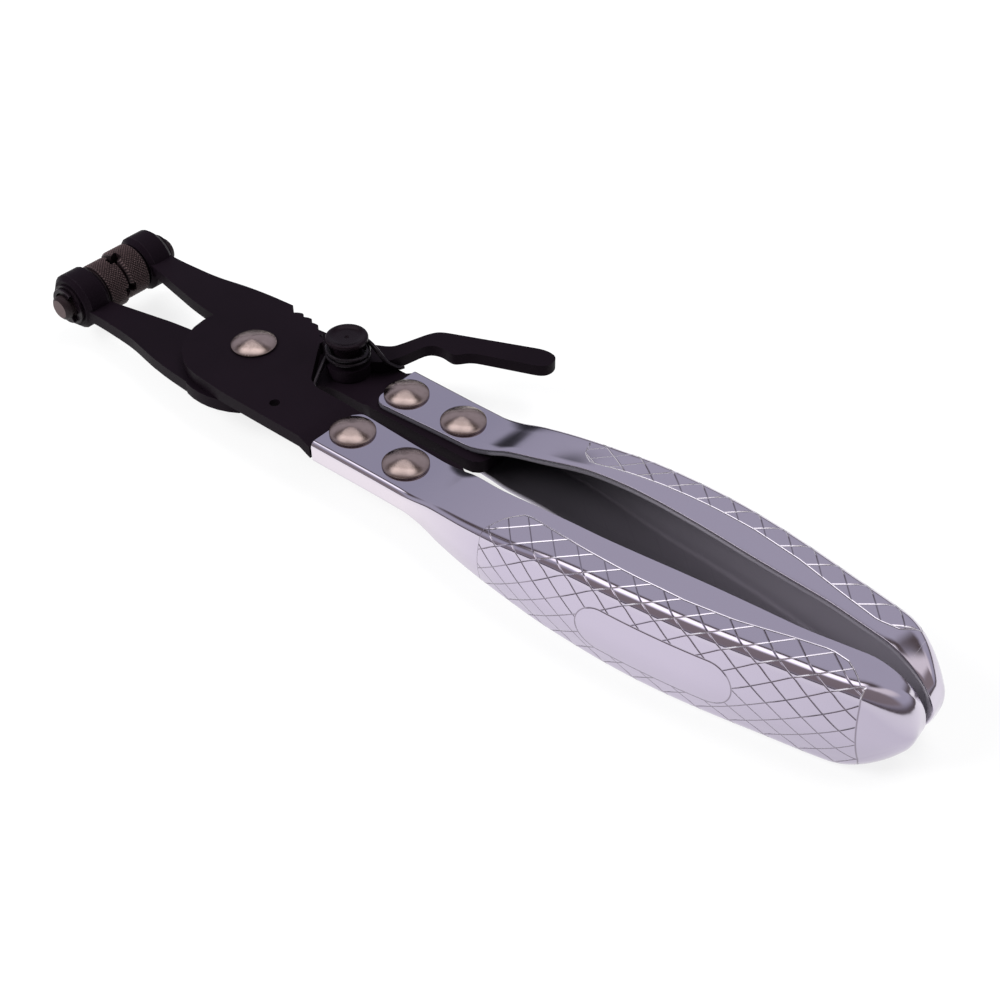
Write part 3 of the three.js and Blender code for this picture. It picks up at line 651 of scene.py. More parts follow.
# %% Round the edges of the stamped plates
def rounded_copy(node, body, material, width=EDGE_ROUNDING, fold=40):
    bm = from_node(node)
    if node == "upper_jaw_lever":
        print("swelled", swell_tooth_backs(bm), "edges of tooth backs")
    for find, radius in ((tooth_tips, TOOTH_ROUNDING), (boss_rings, BOSS_ROUNDING)):
        edges = find(bm)
        if edges:
            soften(bm, edges, radius, 4)
    soften(bm, folded(bm, fold), width)
    piece = dress(node, "dressed", bm, body, material)
    weighted = piece.modifiers.new("wide_faces_stay_flat", "WEIGHTED_NORMAL")
    weighted.keep_sharp = True
    make_real(piece)


PLATES = {"upper_jaw_lever": "moving_lever", "lower_jaw_lever": "fixed_lever", "ratchet_pawl": "pawl"}
for node, body in PLATES.items():
    rounded_copy(node, body, plate_black)

# %% [markdown]
# ## Turned pieces
#
# A rivet, a post or a washer is a profile turned round an axis, and `spin` does just that. The
# profile is a chain of points given as radius and height. The spin goes all the way round with
# its ends merged, and points on the axis are welded into one. Each point's radius is written as
# an attribute, for the spun rings of the finish. Last, the piece is tipped onto its own axis and
# moved to its place.

# %% Helpers that turn a profile
TIPS = {"Z": 0, "Y": -90, "-Y": 90}


def put(bm, place, axis):
    """Tips a piece from the Z axis onto its own axis, and moves it to a place given in mm."""
    tip = Matrix.Rotation(math.radians(TIPS[axis]), 4, "X")
    move = Matrix.Translation([value * MM for value in place])
    bmesh.ops.transform(bm, matrix=move @ tip, verts=bm.verts)


def turned(profile, place=(0, 0, 0), steps=96, axis="Z"):
    bm = bmesh.new()
    chain = [bm.verts.new((radius * MM, 0, height * MM)) for radius, height in profile]
    edges = [bm.edges.new(pair) for pair in zip(chain, chain[1:])]
    bmesh.ops.spin(
        bm, geom=chain + edges, cent=(0, 0, 0), axis=(0, 0, 1), dvec=(0, 0, 0),
        angle=math.tau, steps=steps, use_merge=True, use_duplicate=False,
    )
    bmesh.ops.remove_doubles(bm, verts=bm.verts, dist=WELD)
    radius_layer = bm.verts.layers.float.new("radius")
    for vert in bm.verts:
        vert[radius_layer] = vert.co.xy.length
    put(bm, place, axis)
    return bm


def dome(radius, rim, height, steps=14):
    """Profile points of a part of a sphere, from its rim to the axis."""
    ball = (radius ** 2 + height ** 2) / (2 * height)
    points = []
    for step in range(steps + 1):
        reach = radius * (1 - step / steps)
        points.append((reach, rim + height - ball + math.sqrt(ball ** 2 - reach ** 2)))
    return points


def lifted(points, height):
    """The same points of a profile, higher up."""
    return [(radius, rise + height) for radius, rise in points]


print("a dome's profile has", len(dome(5, 0, 1.4)), "points")

# %% [markdown]
# ## Rivets
#
# The four handle rivets are alike: a domed head with a thin rim, a shank, and a tail that was
# formed below. The pivot rivet is larger, because the levers turn on it. A head is a part of a
# sphere on a low upright rim, and the rim, darkened further by painted shade in the finish, draws
# a fine dark line round it.

# %% Turn the rivets
LEVER_TOP = 3.05
NECK_TOP = 2.8
PIVOT_SEAT = LEVER_TOP + 0.06
PIVOT_TAIL = -LEVER_TOP - 0.8

pivot_tail = [(0, -1.55), (4.2, -1.55), (4.9, -1.2), (5.2, -0.7), (5.2, 0), (4, 0)]
pivot_head = [(4, 0), (5.1, 0), (5.25, 0.12), (5.25, 0.32), (5.22, 0.42), *dome(5.12, 0.5, 1.45)]
pivot_profile = lifted(pivot_tail, PIVOT_TAIL) + lifted(pivot_head, PIVOT_SEAT)
handle_tail = [(0, -1.2), (3.3, -1.2), (3.9, -0.9), (4.1, -0.5), (4.1, 0), (2.5, 0)]
handle_head = [(2.5, 0), (4.88, 0), (5, 0.1), (5, 0.38), (4.97, 0.48), *dome(4.88, 0.56, 1.44)]
handle_rivet_profile = lifted(handle_tail, -NECK_TOP) + lifted(handle_head, NECK_TOP)
pivot_rivet = turned(pivot_profile, (0, 0, MIDDLE / MM))
dress("pivot_rivet", "turned", pivot_rivet, "fixed_lever", rivet_plating, 50)
LEVERS = (("upper", -1, "moving_lever"), ("lower", 1, "fixed_lever"))
RIVETS = {"front": (39.1, 8.45), "rear": (54.8, 9.1)}
for lever, side, body in LEVERS:
    for end, (x, y) in RIVETS.items():
        node = f"{lever}_handle_{end}_rivet"
        head = turned(handle_rivet_profile, (x, side * y, MIDDLE / MM))
        dress(node, "turned", head, body, rivet_plating, 50)

# %% [markdown]
# ## The pawl's post
#
# The pawl and its spring turn on a shouldered post. Its cap holds the coil down: a disc with a
# bevelled rim, dished in the middle, with the small centre mark that the lathe leaves. The thin
# washers under the pawl and the pivot rivet are hardly seen, so they keep their packed shape and
# only take a finish.

# %% Turn the post
POST = (20.6, 9.5)
CAP_TOP = 9.6

post_foot = [
    (0, -4.2), (3.2, -4.2), (3.8, -3.9), (4, -3.5), (4, -LEVER_TOP), (2.6, -LEVER_TOP),
    (2.6, -0.05), (3.2, -0.05),
]
post_cap = [
    (3.2, -1.1), (4.62, -1.1), (4.8, -0.95), (4.8, -0.4), (4.68, -0.14), (4.42, 0), (4.05, 0),
    (3.75, -0.12), (3.5, -0.32), (2.4, -0.4), (0.55, -0.44), (0.3, -0.75), (0, -0.9),
]
post_profile = post_foot + lifted(post_cap, CAP_TOP)
pawl_post = turned(post_profile, (*POST, MIDDLE / MM))
dress("pawl_post", "turned", pawl_post, "fixed_lever", turned_black, 40)
for node in ("pivot_washer", "pawl_washer"):
    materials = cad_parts[node].data.materials
    materials.clear()
    materials.append(turned_black)
print("washers keep their packed shape")

# %% [markdown]
# ## Swivel rollers
#
# Each jaw ends in a turned roller that can swivel in its boss. Its head is knurled so that it
# grips, and a cross slot in its face takes the band's tab from either direction. The knurl is made
# by a simple trick: a spun band of small squares has every second corner pushed in, and each
# square is split between its low corners. The high corners are then the tips of diamond
# pyramids.

# %% Name the roller's sizes
HEAD_RADIUS = 6.2
HEAD_LENGTH = 6.1
FACE_GAP = 0.15
CHAMFER = 0.7
NECK_LENGTH = 0.75
NECK_RADIUS = 5.4
KNURL_STEPS = 96
KNURL_ROWS = 12
ROW_SLACK = 0.01
KNURL_DEPTH = 0.3
SHANK = 3.0
SHANK_END = 16.9
CLIP_GROOVE = (14.37, 15.29)
GROOVE_FLOOR = 2.4


def roller_profile():
    face, rear = FACE_GAP, FACE_GAP + HEAD_LENGTH
    first, last = face + CHAMFER, rear - NECK_LENGTH
    rows = [first + (last - first) * row / KNURL_ROWS for row in range(KNURL_ROWS + 1)]
    return [
        (0, face), (HEAD_RADIUS - CHAMFER, face),
        *[(HEAD_RADIUS, height) for height in rows],
        (HEAD_RADIUS - CHAMFER / 2, last + CHAMFER / 2), (NECK_RADIUS, last + CHAMFER / 2),
        (NECK_RADIUS, rear), (SHANK, rear), (SHANK, CLIP_GROOVE[0]),
        (GROOVE_FLOOR, CLIP_GROOVE[0]), (GROOVE_FLOOR, CLIP_GROOVE[1]), (SHANK, CLIP_GROOVE[1]),
        (SHANK, SHANK_END - 0.7), (SHANK - 0.15, SHANK_END - 0.4),
        (SHANK - 0.7, SHANK_END), (0, SHANK_END),
    ]


print("the roller's profile has", len(roller_profile()), "points")

# %% [markdown]
# To knurl the band, each of its corners is told by its height and its angle. A corner whose row
# and step add up to an odd number stays high, and the others are pushed in.

# %% Knurl a roller head
def knurl(bm):
    """Pushes in every second corner of the band, and splits its squares between low corners."""
    peak = bm.verts.layers.float.new("peak")
    first = FACE_GAP + CHAMFER
    step = (HEAD_LENGTH - CHAMFER - NECK_LENGTH) / KNURL_ROWS
    on_band = []
    for vert in bm.verts:
        row = (vert.co.z / MM - first) / step
        whole = abs(row - round(row)) < ROW_SLACK and 0 <= round(row) <= KNURL_ROWS
        if not whole or not at_radius(vert, HEAD_RADIUS * MM):
            continue
        around = round(math.atan2(vert.co.y, vert.co.x) / math.tau * KNURL_STEPS)
        on_band.append(vert)
        vert[peak] = (round(row) + around) % 2
    low = {vert for vert in on_band if vert[peak] < 0.5}
    band = set(on_band)
    for face in [f for f in bm.faces if len(f.verts) == 4 and set(f.verts) <= band]:
        pair = [vert for vert in face.verts if vert in low]
        bmesh.utils.face_split(face, pair[0], pair[1])
    for vert in low:
        vert.co.xy *= 1 - KNURL_DEPTH / HEAD_RADIUS


print("the knurl has", KNURL_STEPS // 2, "points round the head")

# %% [markdown]
# The cross slot goes through the face of the head. A Boolean modifier with two crossed bars cuts
# it and is made real, and then the bars are taken away again. The bars are crossed about the
# roller's own axis, and are put in place as the roller is.

# %% A helper that cuts the slot
SLOT_LENGTH = 22
SLOT_WIDTH = 2.2
SLOT_DEPTH = 1.4


def cut_slots(piece, place, axis, first_turn):
    """Cuts a cross into the face of a roller, with two crossed bars."""
    bm = bmesh.new()
    for turn in (first_turn, first_turn + 90):
        size = Matrix.Diagonal((SLOT_LENGTH * MM, SLOT_WIDTH * MM, 2 * SLOT_DEPTH * MM, 1))
        spin = Matrix.Rotation(math.radians(turn), 4, "Z")
        bmesh.ops.create_cube(bm, size=1, matrix=spin @ size)
    bmesh.ops.translate(bm, verts=bm.verts, vec=(0, 0, FACE_GAP * MM))
    put(bm, place, axis)
    bars = added("slot_bars", to_mesh(bm, "slot_bars"))
    cutter = piece.modifiers.new("cross_slot", "BOOLEAN")
    cutter.object = bars
    cutter.solver = "EXACT"
    cutter.use_self = True
    make_real(piece)
    bpy.data.objects.remove(bars)


print("the slot is", SLOT_WIDTH, "mm wide and", SLOT_DEPTH, "mm deep")

# %% [markdown]
# The near jaw points along -Y and the far one along +Y, each at the height of its own lever. A
# washer and a snap ring hold each shank in its boss, with the ring in the groove of the shank.

# %% Make both rollers
JAW_X = -49.5
JAWS = {"lower": ("-Y", 0, -6), "upper": ("Y", 0.8, 9)}
WORN_FROM = SHANK_END - 0.05
WASHER_BORE, WASHER_RADIUS = 3.15, 5
WASHER_SEAT, WASHER_TOP = 13.61, 14.31
CLIP_ROUNDING = 0.12 * MM

washer_profile = [
    (WASHER_BORE, WASHER_SEAT), (WASHER_RADIUS, WASHER_SEAT), (WASHER_RADIUS, WASHER_TOP),
    (WASHER_BORE, WASHER_TOP), (WASHER_BORE, WASHER_SEAT),
]
for lever, (axis, height, slot_turn) in JAWS.items():
    body = f"{lever}_swivel"
    place = (JAW_X, 0, MIDDLE / MM + height)
    bm = turned(roller_profile(), steps=KNURL_STEPS)
    knurl(bm)
    worn = bm.faces.layers.float.new("worn")
    for face in bm.faces:
        face[worn] = min(vert.co.z for vert in face.verts) > WORN_FROM * MM
    put(bm, place, axis)
    roller = dress(f"{lever}_swivel_jaw", "knurled", bm, body, roller_brown, 30)
    cut_slots(roller, place, axis, slot_turn)
    washer = turned(washer_profile, place, axis=axis)
    dress(f"{lever}_jaw_washer", "turned", washer, body, turned_black, 30)
    rounded_copy(f"{lever}_jaw_clip", body, turned_black, CLIP_ROUNDING, 50)

# %% [markdown]
# ## The pawl's spring
#
# A torsion spring sits round the post: one leg presses on the upper lever's edge, the coil climbs
# in a little over two turns, and the other leg hooks round the pawl and pushes its nose into the
# teeth. The route is in mm, as in the packed solid, but with finer steps: the coil's places come
# from an angle, and a leg has a few chosen points whose corners are cut until the bends are
# smooth. The coil's last few places are smoothed together with each leg.

# %% Lay out the route of the wire
WIRE = 1.1
COIL_RADIUS = 4.6
COIL_PITCH = 1.3
COIL_BOTTOM = LEVER_TOP + 0.15 + WIRE / 2
COIL_START, COIL_END = 196, -640
COIL_STEPS = 80
JOINT = 6


def on_coil(angle):
    turn = math.radians(angle)
    climb = COIL_PITCH * (COIL_START - angle) / 360
    return Vector((
        POST[0] + COIL_RADIUS * math.cos(turn),
        POST[1] + COIL_RADIUS * math.sin(turn),
        COIL_BOTTOM + climb,
    ))


LOWER_LEG = [(19.43, -0.54, 1.2), (19.04, 0.5, 1.75), (18.24, 2.66, 2.5), (17.21, 5.45, 3.61)]
UPPER_LEG = [
    (24.12, 13.55, 6.63), (26.83, 13.07, 5.67), (28.36, 13.74, 3.2),
    (28.89, 15.14, 1.96), (29.37, 16.39, 0.86), (29.81, 17.56, 0.86),
]


def smoothed(points, rounds=3):
    """Cuts the corners of a route, and keeps its two ends."""
    for _ in range(rounds):
        cut = [points[0]]
        for here, there in zip(points, points[1:]):
            cut += [here.lerp(there, 0.25), here.lerp(there, 0.75)]
        points = cut + [points[-1]]
    return points


lower_leg = [Vector(point) for point in LOWER_LEG]
upper_leg = [Vector(point) for point in UPPER_LEG]
coil_turn = (COIL_START - COIL_END) / COIL_STEPS
turns = [on_coil(COIL_START - coil_turn * step) for step in range(COIL_STEPS + 1)]
into_coil = smoothed(lower_leg + turns[:JOINT])
out_of_coil = smoothed(turns[-JOINT:] + upper_leg)
route = into_coil[:-1] + turns[JOINT:-JOINT] + out_of_coil[1:]
length = sum((there - here).length for here, there in zip(route, route[1:]))
print("the wire is", round(length, 1), "mm long")

# %% [markdown]
# A round section is carried along the route one short step at a time, with an extrude for each
# step, and each new ring is turned square to the wire. The extrude gives back a mix of new points,
# edges and faces, so a helper sorts out the points and the edges to go on from. The handles are
# made with it too.

# %% Carry a round section along the route
def extruded(bm, edges):
    """Extrudes a chain of edges, and gives back its new points and its new edges."""
    made = bmesh.ops.extrude_edge_only(bm, edges=edges)["geom"]
    verts = [part for part in made if isinstance(part, bmesh.types.BMVert)]
    fresh = set(verts)
    return verts, [
        part for part in made
        if isinstance(part, bmesh.types.BMEdge) and set(part.verts) <= fresh
    ]


def swept(points, radius, sides=12):
    bm = bmesh.new()
    bmesh.ops.create_circle(bm, cap_ends=True, segments=sides, radius=radius)
    places = [point * MM + Vector((0, 0, MIDDLE)) for point in points]
    heading = (places[1] - places[0]).normalized()
    bmesh.ops.rotate(
        bm, verts=bm.verts, cent=(0, 0, 0),
        matrix=Vector((0, 0, 1)).rotation_difference(heading).to_matrix(),
    )
    bmesh.ops.translate(bm, verts=bm.verts, vec=places[0])
    ring = list(bm.edges)
    for step in range(1, len(places)):
        verts, ring = extruded(bm, ring)
        bmesh.ops.translate(bm, verts=verts, vec=places[step] - places[step - 1])
        after = places[min(step + 1, len(places) - 1)]
        turned_to = (after - places[step - 1]).normalized()
        turn = heading.rotation_difference(turned_to).to_matrix()
        bmesh.ops.rotate(bm, verts=verts, cent=places[step], matrix=turn)
        heading = turned_to
    bmesh.ops.contextual_create(bm, geom=ring)
    return bm


wire = swept(route, WIRE / 2 * MM)
dress("pawl_spring", "wound", wire, "fixed_lever", wire_steel, 60)

# %% [markdown]
# ## Pressed handles
#
# Each handle is one sheet pressed to a channel: two flanges that grip the lever's tail, and an
# outer wall that deepens into the grip, bends in, and closes in a dome. The section changes all
# the way along, so it is given at a table of places as shares of the grip, the same table as in
# the packed solid, and a smooth curve runs through the rows. A chain of vertices makes the first
# section. It is extruded from place to place, and its vertices are moved to each new section.

# %% Describe the handle's section along its length
SHEET = 1.3
FRONT, END = 34.7, 168.9
NECK_HALF, GRIP_HALF = 2.8, 10.5
NECK_CORNER, GRIP_CORNER = 1.4, 2.6
GRIP_OUTER = 18.6
CROWN = 1.3
DOME_START = 156.5
DOME_TIP = 0.24 * GRIP_OUTER
LIP_RISE = 0.6
FRONT_ROUNDING = 3.0
PLAN = [
    (0, 0.126, 0.898, 0, 0), (0.069, 0.151, 0.892, 0, 0), (0.136, 0.175, 0.887, 0, 0),
    (0.189, 0.189, 0.887, 0, 0), (0.207, 0.198, 0.892, 0.035, 0.035),
    (0.233, 0.226, 0.905, 0.13, 0.15), (0.263, 0.263, 0.938, 0.26, 0.33),
    (0.323, 0.333, 0.989, 0.43, 0.51), (0.397, 0.395, 1.018, 0.62, 0.78),
    (0.457, 0.409, 1.018, 0.8, 0.9), (0.516, 0.403, 1.008, 0.91, 0.95),
    (0.576, 0.374, 0.997, 0.965, 0.98), (0.636, 0.336, 0.968, 1, 1),
    (0.695, 0.296, 0.922, 1, 1), (0.755, 0.263, 0.855, 1, 1), (0.822, 0.228, 0.766, 1, 1),
    (0.874, 0.17, 0.699, 1, 1), (0.919, 0.12, 0.629, 1, 1), (1, 0.05, 0.47, 1, 1),
]


def plan_at(share, column):
    """A column of the plan at a share of the length, on a smooth curve through its rows."""
    low = max(i for i, row in enumerate(PLAN[:-1]) if row[0] <= max(share, 0))

    def slope(i):
        before, after = PLAN[max(i - 1, 0)], PLAN[min(i + 1, len(PLAN) - 1)]
        return (after[column] - before[column]) / (after[0] - before[0])

    here, there = PLAN[low], PLAN[low + 1]
    width = there[0] - here[0]
    t = (share - here[0]) / width
    level = here[column] == there[column]
    start = 0 if level else slope(low) * width
    end = 0 if level else slope(low + 1) * width
    rise = here[column] + (there[column] - here[column]) * t * t * (3 - 2 * t)
    return rise + start * t * (1 - t) ** 2 - end * t * t * (1 - t)


def falling(share, power):
    return max(1 - share ** power, 0) ** (1 / power)


print("the neck is", 2 * NECK_HALF, "mm high and the grip", 2 * GRIP_HALF, "mm")

# %% [markdown]
# The section runs from the upper flange's inner edge over the bend, down the crowned wall, and
# back to the lower flange's inner edge. With each point goes its `across` value, the distance
# round the section that the engraving counts in. The pattern was pressed a little flatter on the
# wall than on the flanges, so a millimetre of wall counts for more.
#
# In the dome the section shrinks: its depth, its height and its flange's edge each fall off along
# a superellipse, a rounded curve whose power says how square its shoulder is.

# %% Work out one section
WALL_STRETCH = 1.325
ARC_STEPS = 6
WALL_STEPS = 14
FLANGE_STEPS = 5
WALL_POWER, HEIGHT_POWER, EDGE_POWER = 2.6, 2.2, 1.75
LIP_POWER = 16
CORNER_SHARE = 0.8


def section(x):
    share = (x - FRONT) / (END - FRONT)
    rise = plan_at(share, 3)
    inner = plan_at(share, 1) * GRIP_OUTER
    outer = plan_at(share, 2) * GRIP_OUTER
    half = NECK_HALF + (GRIP_HALF - NECK_HALF) * rise
    edge = NECK_HALF + (GRIP_HALF - NECK_HALF) * plan_at(share, 4)
    corner = NECK_CORNER + (GRIP_CORNER - NECK_CORNER) * rise
    into = max(x - DOME_START, 0) / (END - DOME_START)
    if into > 0:
        outer = DOME_TIP + (outer - DOME_TIP) * falling(into, WALL_POWER)
        inner += LIP_RISE * into ** LIP_POWER
        half *= falling(into, HEIGHT_POWER)
        edge *= falling(into, EDGE_POWER)
        corner += (half - corner) * into * into * CORNER_SHARE
        corner = min(corner, (outer - inner) * CORNER_SHARE, half * CORNER_SHARE)
    if x - FRONT < FRONT_ROUNDING:
        short = FRONT_ROUNDING - (x - FRONT)
        inner += FRONT_ROUNDING - math.sqrt(FRONT_ROUNDING ** 2 - short ** 2)
    crown = CROWN * rise
    if into > 0:
        crown *= (half - corner) / (GRIP_HALF - GRIP_CORNER)
    points = []
    for step in range(FLANGE_STEPS):
        t = step / FLANGE_STEPS
        y = inner + (outer - corner - inner) * t
        points.append((y, edge + (half - edge) * t))
    for step in range(ARC_STEPS + 1):
        turn = math.pi / 2 * (1 - step / ARC_STEPS)
        points.append((
            outer - corner + corner * math.cos(turn), half - corner + corner * math.sin(turn),
        ))
    for step in range(1, WALL_STEPS // 2 + 1):
        t = 1 - 2 * step / WALL_STEPS
        points.append((outer + crown * (1 - t * t), t * (half - corner)))
    upper = [(y, z, WALL_STRETCH * z + max(outer - y, 0)) for y, z in points]
    return upper + [(y, -z, -across) for y, z, across in reversed(upper[:-1])]


print("a section has", len(section(100)), "points")

# %% [markdown]
# The engraved panel ends at a line: on the flanges it follows a curve, given here at a few places,
# and on the wall it ends in a line across, which slants at the rear. The attribute `panel` holds
# how far inside the nearest of these borders each vertex lies.

# %% Describe the engraved panel
FLANGE_BORDER = [
    (82.3, 18), (83, 14.7), (84.7, 12.3), (87.5, 10.2), (90, 10.5), (96, 11.4), (103, 12.1),
    (110, 12.4), (115, 12.4), (124.7, 11.9), (134.7, 10.3), (145.6, 7.3), (152.4, 5.7),
    (156.4, 6.2), (159.7, 9), (161, 10.6),
]
PANEL_START, PANEL_END = 82.5, 161
END_SLANT = 0.125
SLANT_FROM, SLANT_FULL = 130, 150
OFF_THE_HANDLE = GRIP_OUTER + 4


def border_at(x):
    """How far out from the middle plane the flange's border line runs at one place."""
    if x <= FLANGE_BORDER[0][0]:
        return OFF_THE_HANDLE
    if x >= FLANGE_BORDER[-1][0]:
        return 0
    for (x0, y0), (x1, y1) in zip(FLANGE_BORDER, FLANGE_BORDER[1:]):
        if x <= x1:
            return y0 + (y1 - y0) * (x - x0) / (x1 - x0)


def panel_depth(x, y, z):
    """Metres inside the engraved panel's border, from mm; less than 0 is outside."""
    slant = END_SLANT * min(max((x - SLANT_FROM) / (SLANT_FULL - SLANT_FROM), 0), 1)
    shifted = x + slant * z
    ends = min(x - PANEL_START, PANEL_END - shifted)
    return min(ends, y - border_at(shifted)) * MM


print("inside the panel by", round(panel_depth(120, 18, 0) / MM, 1), "mm in mid wall")

# %% [markdown]
# The sections stand close together where the shape turns quickly, at the rounded front and in the
# dome, and at even steps between. The last section is flat, and merging its vertices closes the
# dome in a short seam.

# %% Press one sheet
SECTION_STEP = 1.5
FRONT_SECTIONS, DOME_SECTIONS = 6, 16


def handle_places():
    """The places of the sections along the handle."""
    straight = FRONT + FRONT_ROUNDING
    front = [math.cos(math.pi / 2 * i / FRONT_SECTIONS) for i in range(FRONT_SECTIONS)]
    dome_part = [math.sin(math.pi / 2 * i / DOME_SECTIONS) for i in range(DOME_SECTIONS + 1)]
    return [
        *[FRONT + FRONT_ROUNDING * (1 - share) for share in front],
        *[straight + SECTION_STEP * i for i in range(int((DOME_START - straight) / SECTION_STEP))],
        *[DOME_START + (END - DOME_START) * share for share in dome_part],
    ]


def pressed_shell():
    bm = bmesh.new()
    across_layer = bm.verts.layers.float.new("across")
    panel = bm.verts.layers.float.new("panel")
    flange = bm.verts.layers.float.new("flange")
    places = handle_places()
    chain = [bm.verts.new((0, 0, i)) for i in range(len(section(FRONT)))]
    edges = [bm.edges.new(pair) for pair in zip(chain, chain[1:])]

    def lay(verts, x):
        for i, (vert, (y, z, across)) in enumerate(zip(verts, section(x))):
            from_rim = min(i, len(verts) - 1 - i)
            vert.co = (x * MM, -y * MM, z * MM + MIDDLE)
            vert[flange] = min(max(1 - (from_rim - FLANGE_STEPS) / ARC_STEPS, 0), 1)
            vert[across_layer] = across
            vert[panel] = panel_depth(x, y, z)

    lay(chain, places[0])
    for x in places[1:]:
        fresh, edges = extruded(bm, edges)
        # One new edge leads from each old point to the new point that it became.
        partner = {edge.other_vert(vert): vert for vert in fresh for edge in vert.link_edges}
        chain = [partner[vert] for vert in chain]
        lay(chain, x)
    bmesh.ops.remove_doubles(bm, verts=chain, dist=WELD)
    return bm


print("the handle is laid through", len(handle_places()), "sections")

# %% [markdown]
# The sheet is one skin without thickness until `solidify` gives it the sheet's. The vertices that
# this adds are the inside of the channel, and are marked so. The rim is then rounded as the press
# left it. The far handle is the same pressing turned over, so it is the same bmesh turned half way
# round the X axis.

# %% Press the handles
RIM_ROUNDING = 0.4 * MM


def engraving_map(bm):
    uv = bm.loops.layers.uv.new("engraving")
    across = bm.verts.layers.float["across"]
    for face in bm.faces:
        for loop in face.loops:
            loop[uv].uv = (loop.vert.co.x / CELL, loop.vert[across] * MM / CELL)


def handle(side):
    bm = pressed_shell()
    engraving_map(bm)
    bmesh.ops.recalc_face_normals(bm, faces=bm.faces)
    inward = sum(face.normal.y * face.calc_area() for face in bm.faces)
    if inward > 0:
        bmesh.ops.reverse_faces(bm, faces=bm.faces)
    inner = bm.verts.layers.float.new("inner")
    outside = set(bm.verts)
    bmesh.ops.solidify(bm, geom=bm.faces[:], thickness=SHEET * MM)
    for vert in bm.verts:
        vert[inner] = vert not in outside
    soften(bm, folded(bm, 50), RIM_ROUNDING, 3)
    if side > 0:
        turn = Matrix.Rotation(math.pi, 3, "X")
        bmesh.ops.rotate(bm, verts=bm.verts, cent=(0, 0, MIDDLE), matrix=turn)
    return bm


for lever, side, body in LEVERS:
    dress(f"{lever}_handle", "pressed", handle(side), body, handle_chrome, 40)

# %% [markdown]
# ## Floor and light
#
# Bright metal is only as good as what it reflects. The photograph was lit in a tent on a white
# table: the outer walls of the handles mirror the table, and the flanges mirror the grey cloth
# above. The floor is white, and shows itself so to the camera and in reflections, while it still
# takes a soft shadow.

# %% Lay the floor
FLOOR_HALF_WIDTH = 3
FLOOR_HEIGHT = cad_box[0][2] - 0.05 * MM
WHITE = (1, 1, 1, 1)


def white_floor():
    finish = Finish(
        "white_floor", Base_Color=(0.86, 0.86, 0.86, 1), Roughness=0.9, Specular_IOR_Level=0,
    )
    seen = finish.ray("Camera").most(finish.ray("Glossy")).most(finish.ray("Transmission"))
    glow = finish.node("ShaderNodeEmission", None, {"Color": WHITE, "Strength": 1})
    surface = Field(finish, finish.shader.outputs[0])
    both = finish.shaders(seen * 0.8, surface, glow)
    finish.feed(finish.tree.nodes["Material Output"].inputs["Surface"], both)
    return finish.material


bm = bmesh.new()
bmesh.ops.create_grid(bm, x_segments=1, y_segments=1, size=FLOOR_HALF_WIDTH)
bmesh.ops.translate(bm, verts=bm.verts, vec=(0, 0, FLOOR_HEIGHT))
floor = added("floor", to_mesh(bm, "floor"))
floor.data.materials.append(white_floor())
print("the floor lies at", round(FLOOR_HEIGHT / MM, 2), "mm")

# %% [markdown]
# The world is white to the camera. In reflections it is the tent round the table: lavender grey,
# with a dark strip near the horizon and one long bright box overhead. The box is what draws the
# line along the bends, the cones on the rivets and, with a painted highlight in their finish, the
# bright flanks of the grooves, and on the side of the camera the cloth under it is dark, which
# gives those lines their brown shade.
#
# Where a direction lies is told by dot products. With a patch's middle they give the angle from
# it, and with the normal of the plane that holds the long box they give the angle to one side of
# the box.

# %% Define the tent's patches
BOX_MIDDLE = (-0.2, 0.05, 0.98)
BOX_PLANE = (-0.439, 0.888, -0.137)
END_GLOW = (0.6, 0.25, 0.74)
DARK_CORNER = (-0.72, 0.7, 0.15)


class Tent(Graph):
    """A world built up from nodes, with short ways to say where in the sky a patch is."""

    def __init__(self):
        self.world = bpy.data.worlds.new("tent")
        self.world.use_nodes = True
        super().__init__(self.world.node_tree)
        self.heading = self.node("ShaderNodeTexCoord", output="Generated")

    def rising(self, value, low, high):
        inputs = {"Value": value, "From Min": low, "From Max": high}
        settings = {"interpolation_type": "SMOOTHSTEP"}
        return self.node("ShaderNodeMapRange", settings, inputs, "Result")

    def along(self, direction):
        inputs = {0: self.heading, 1: Vector(direction).normalized()}
        return self.node("ShaderNodeVectorMath", {"operation": "DOT_PRODUCT"}, inputs, "Value")

    def patch(self, middle, inside, outside):
        """1 within an angle of a direction, and 0 beyond a wider angle."""
        limits = (math.cos(math.radians(angle)) for angle in (outside, inside))
        return self.rising(self.along(middle), *limits)

    def aside(self, low, high):
        """Rises from 0 to 1 between two angles to one side of the long box."""
        limits = (math.sin(math.radians(angle)) for angle in (low, high))
        return self.rising(self.along(BOX_PLANE), *limits)

    def sky(self, colour, strength=1):
        return self.node("ShaderNodeBackground", None, {"Color": colour, "Strength": strength})


print("the box stands", round(math.degrees(math.asin(BOX_MIDDLE[2]))), "degrees up")

# %% [markdown]
# The tent's cloth is mixed from the horizon upwards, each patch laid over the one before: a soft
# glow at one end, a dark corner at the other, and then the box with its darker surroundings. For
# plain diffuse light the world is a dim even fill instead.

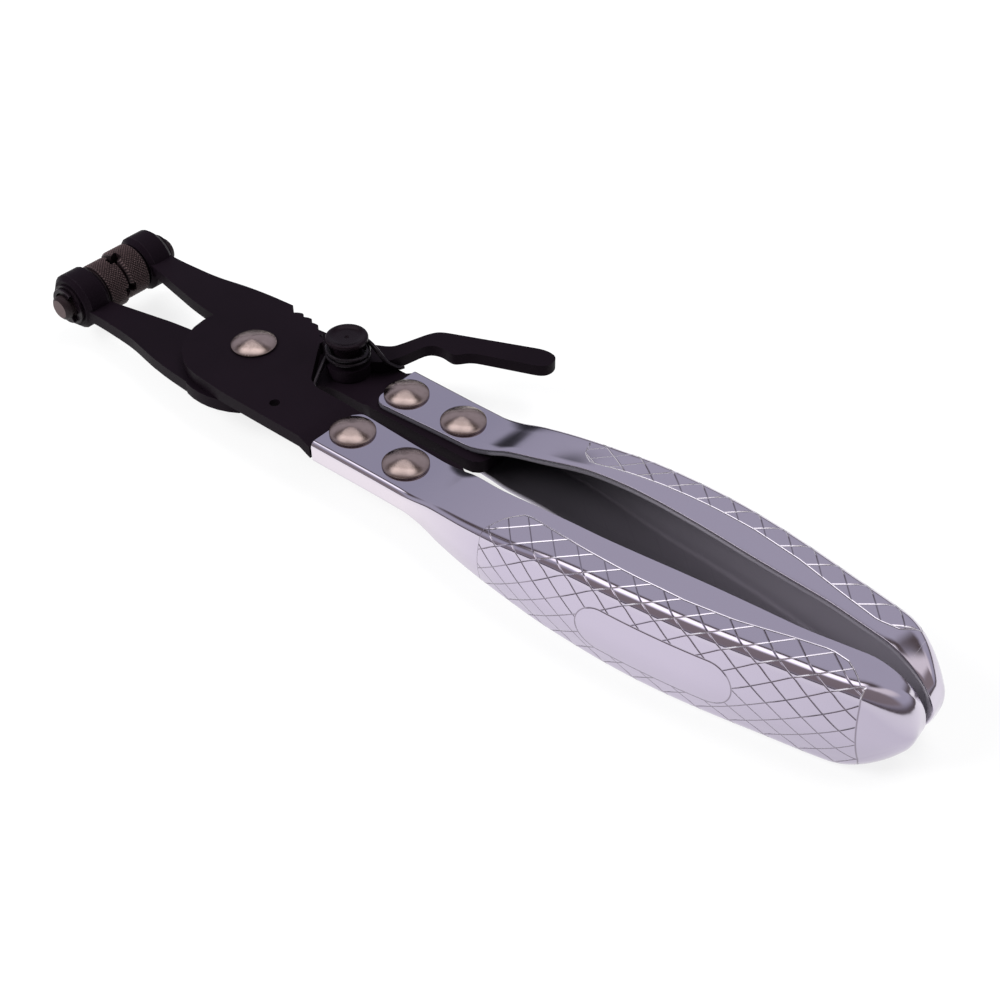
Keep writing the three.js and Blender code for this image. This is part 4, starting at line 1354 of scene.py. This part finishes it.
# %% Put up the tent
def hang_cloth(tent):
    up = tent.parts(tent.heading)[2]
    horizon, overhead = tent.rising(up, 0.04, 0.3), tent.rising(up, 0.12, 0.3)
    camera_side = (1 - tent.aside(-26, -14)) * overhead
    far_side = (1 - tent.aside(18, 30)) * tent.aside(-8, 8) * tent.patch(BOX_MIDDLE, 36, 50)
    box = tent.aside(-24, -5) * (1 - tent.aside(8, 16)) * tent.patch(BOX_MIDDLE, 22, 34)
    cloth = tent.mix(horizon, (0.11, 0.09, 0.095, 1), (0.47, 0.46, 0.54, 1))
    cloth = tent.mix(tent.rising(up, -0.05, 0.03), WHITE, cloth)
    for share, colour in (
        (tent.patch(END_GLOW, 6, 24), (0.85, 0.8, 0.82, 1)),
        (tent.patch(DARK_CORNER, 4, 12), (0.03, 0.03, 0.035, 1)),
        (camera_side, (0.27, 0.23, 0.235, 1)),
        (far_side, (0.1, 0.08, 0.08, 1)),
        (box, (1.8, 1.75, 1.8, 1)),
    ):
        cloth = tent.mix(share, cloth, colour)
    return cloth


tent = Tent()
bpy.context.scene.world = tent.world
fill = tent.sky((0.9, 0.9, 0.95, 1), 0.5)
light = tent.shaders(tent.ray("Glossy"), fill, tent.sky(hang_cloth(tent)))
seen = tent.ray("Camera").most(tent.ray("Transmission"))
light = tent.shaders(seen, light, tent.sky(WHITE))
tent.feed(tent.tree.nodes["World Output"].inputs["Surface"], light)
print("the tent is made of", len(tent.tree.nodes), "nodes")

# %% [markdown]
# The lamps give the plain light and the soft shadow. They are large, no brighter than a colour
# needs to look as it was written, and aren't seen in reflections, because the tent has its own
# bright patches there.

# %% Set up the lamps
LIT_PLACE = Vector((50 * MM, 0, 0))


def soft_box(name, direction, distance, size, power):
    lamp = bpy.data.lights.new(name, "AREA")
    lamp.shape = "RECTANGLE"
    lamp.size, lamp.size_y = size
    lamp.energy = power
    holder = added(name, lamp)
    away = toward(*direction)
    aim(holder, away)
    holder.location = LIT_PLACE + away * distance
    holder.visible_glossy = False


soft_box("front_left_box", (-42, 38), 0.9, (0.5, 0.35), 9)
soft_box("top_box", (160, 70), 1.0, (0.7, 0.5), 7)
bpy.context.scene.view_settings.view_transform = "Standard"
print("two soft boxes are up")

# %% [markdown]
# ## The packed model's box
#
# Its box was measured right after the import, as `cad_box`, and the floor lies just under it.
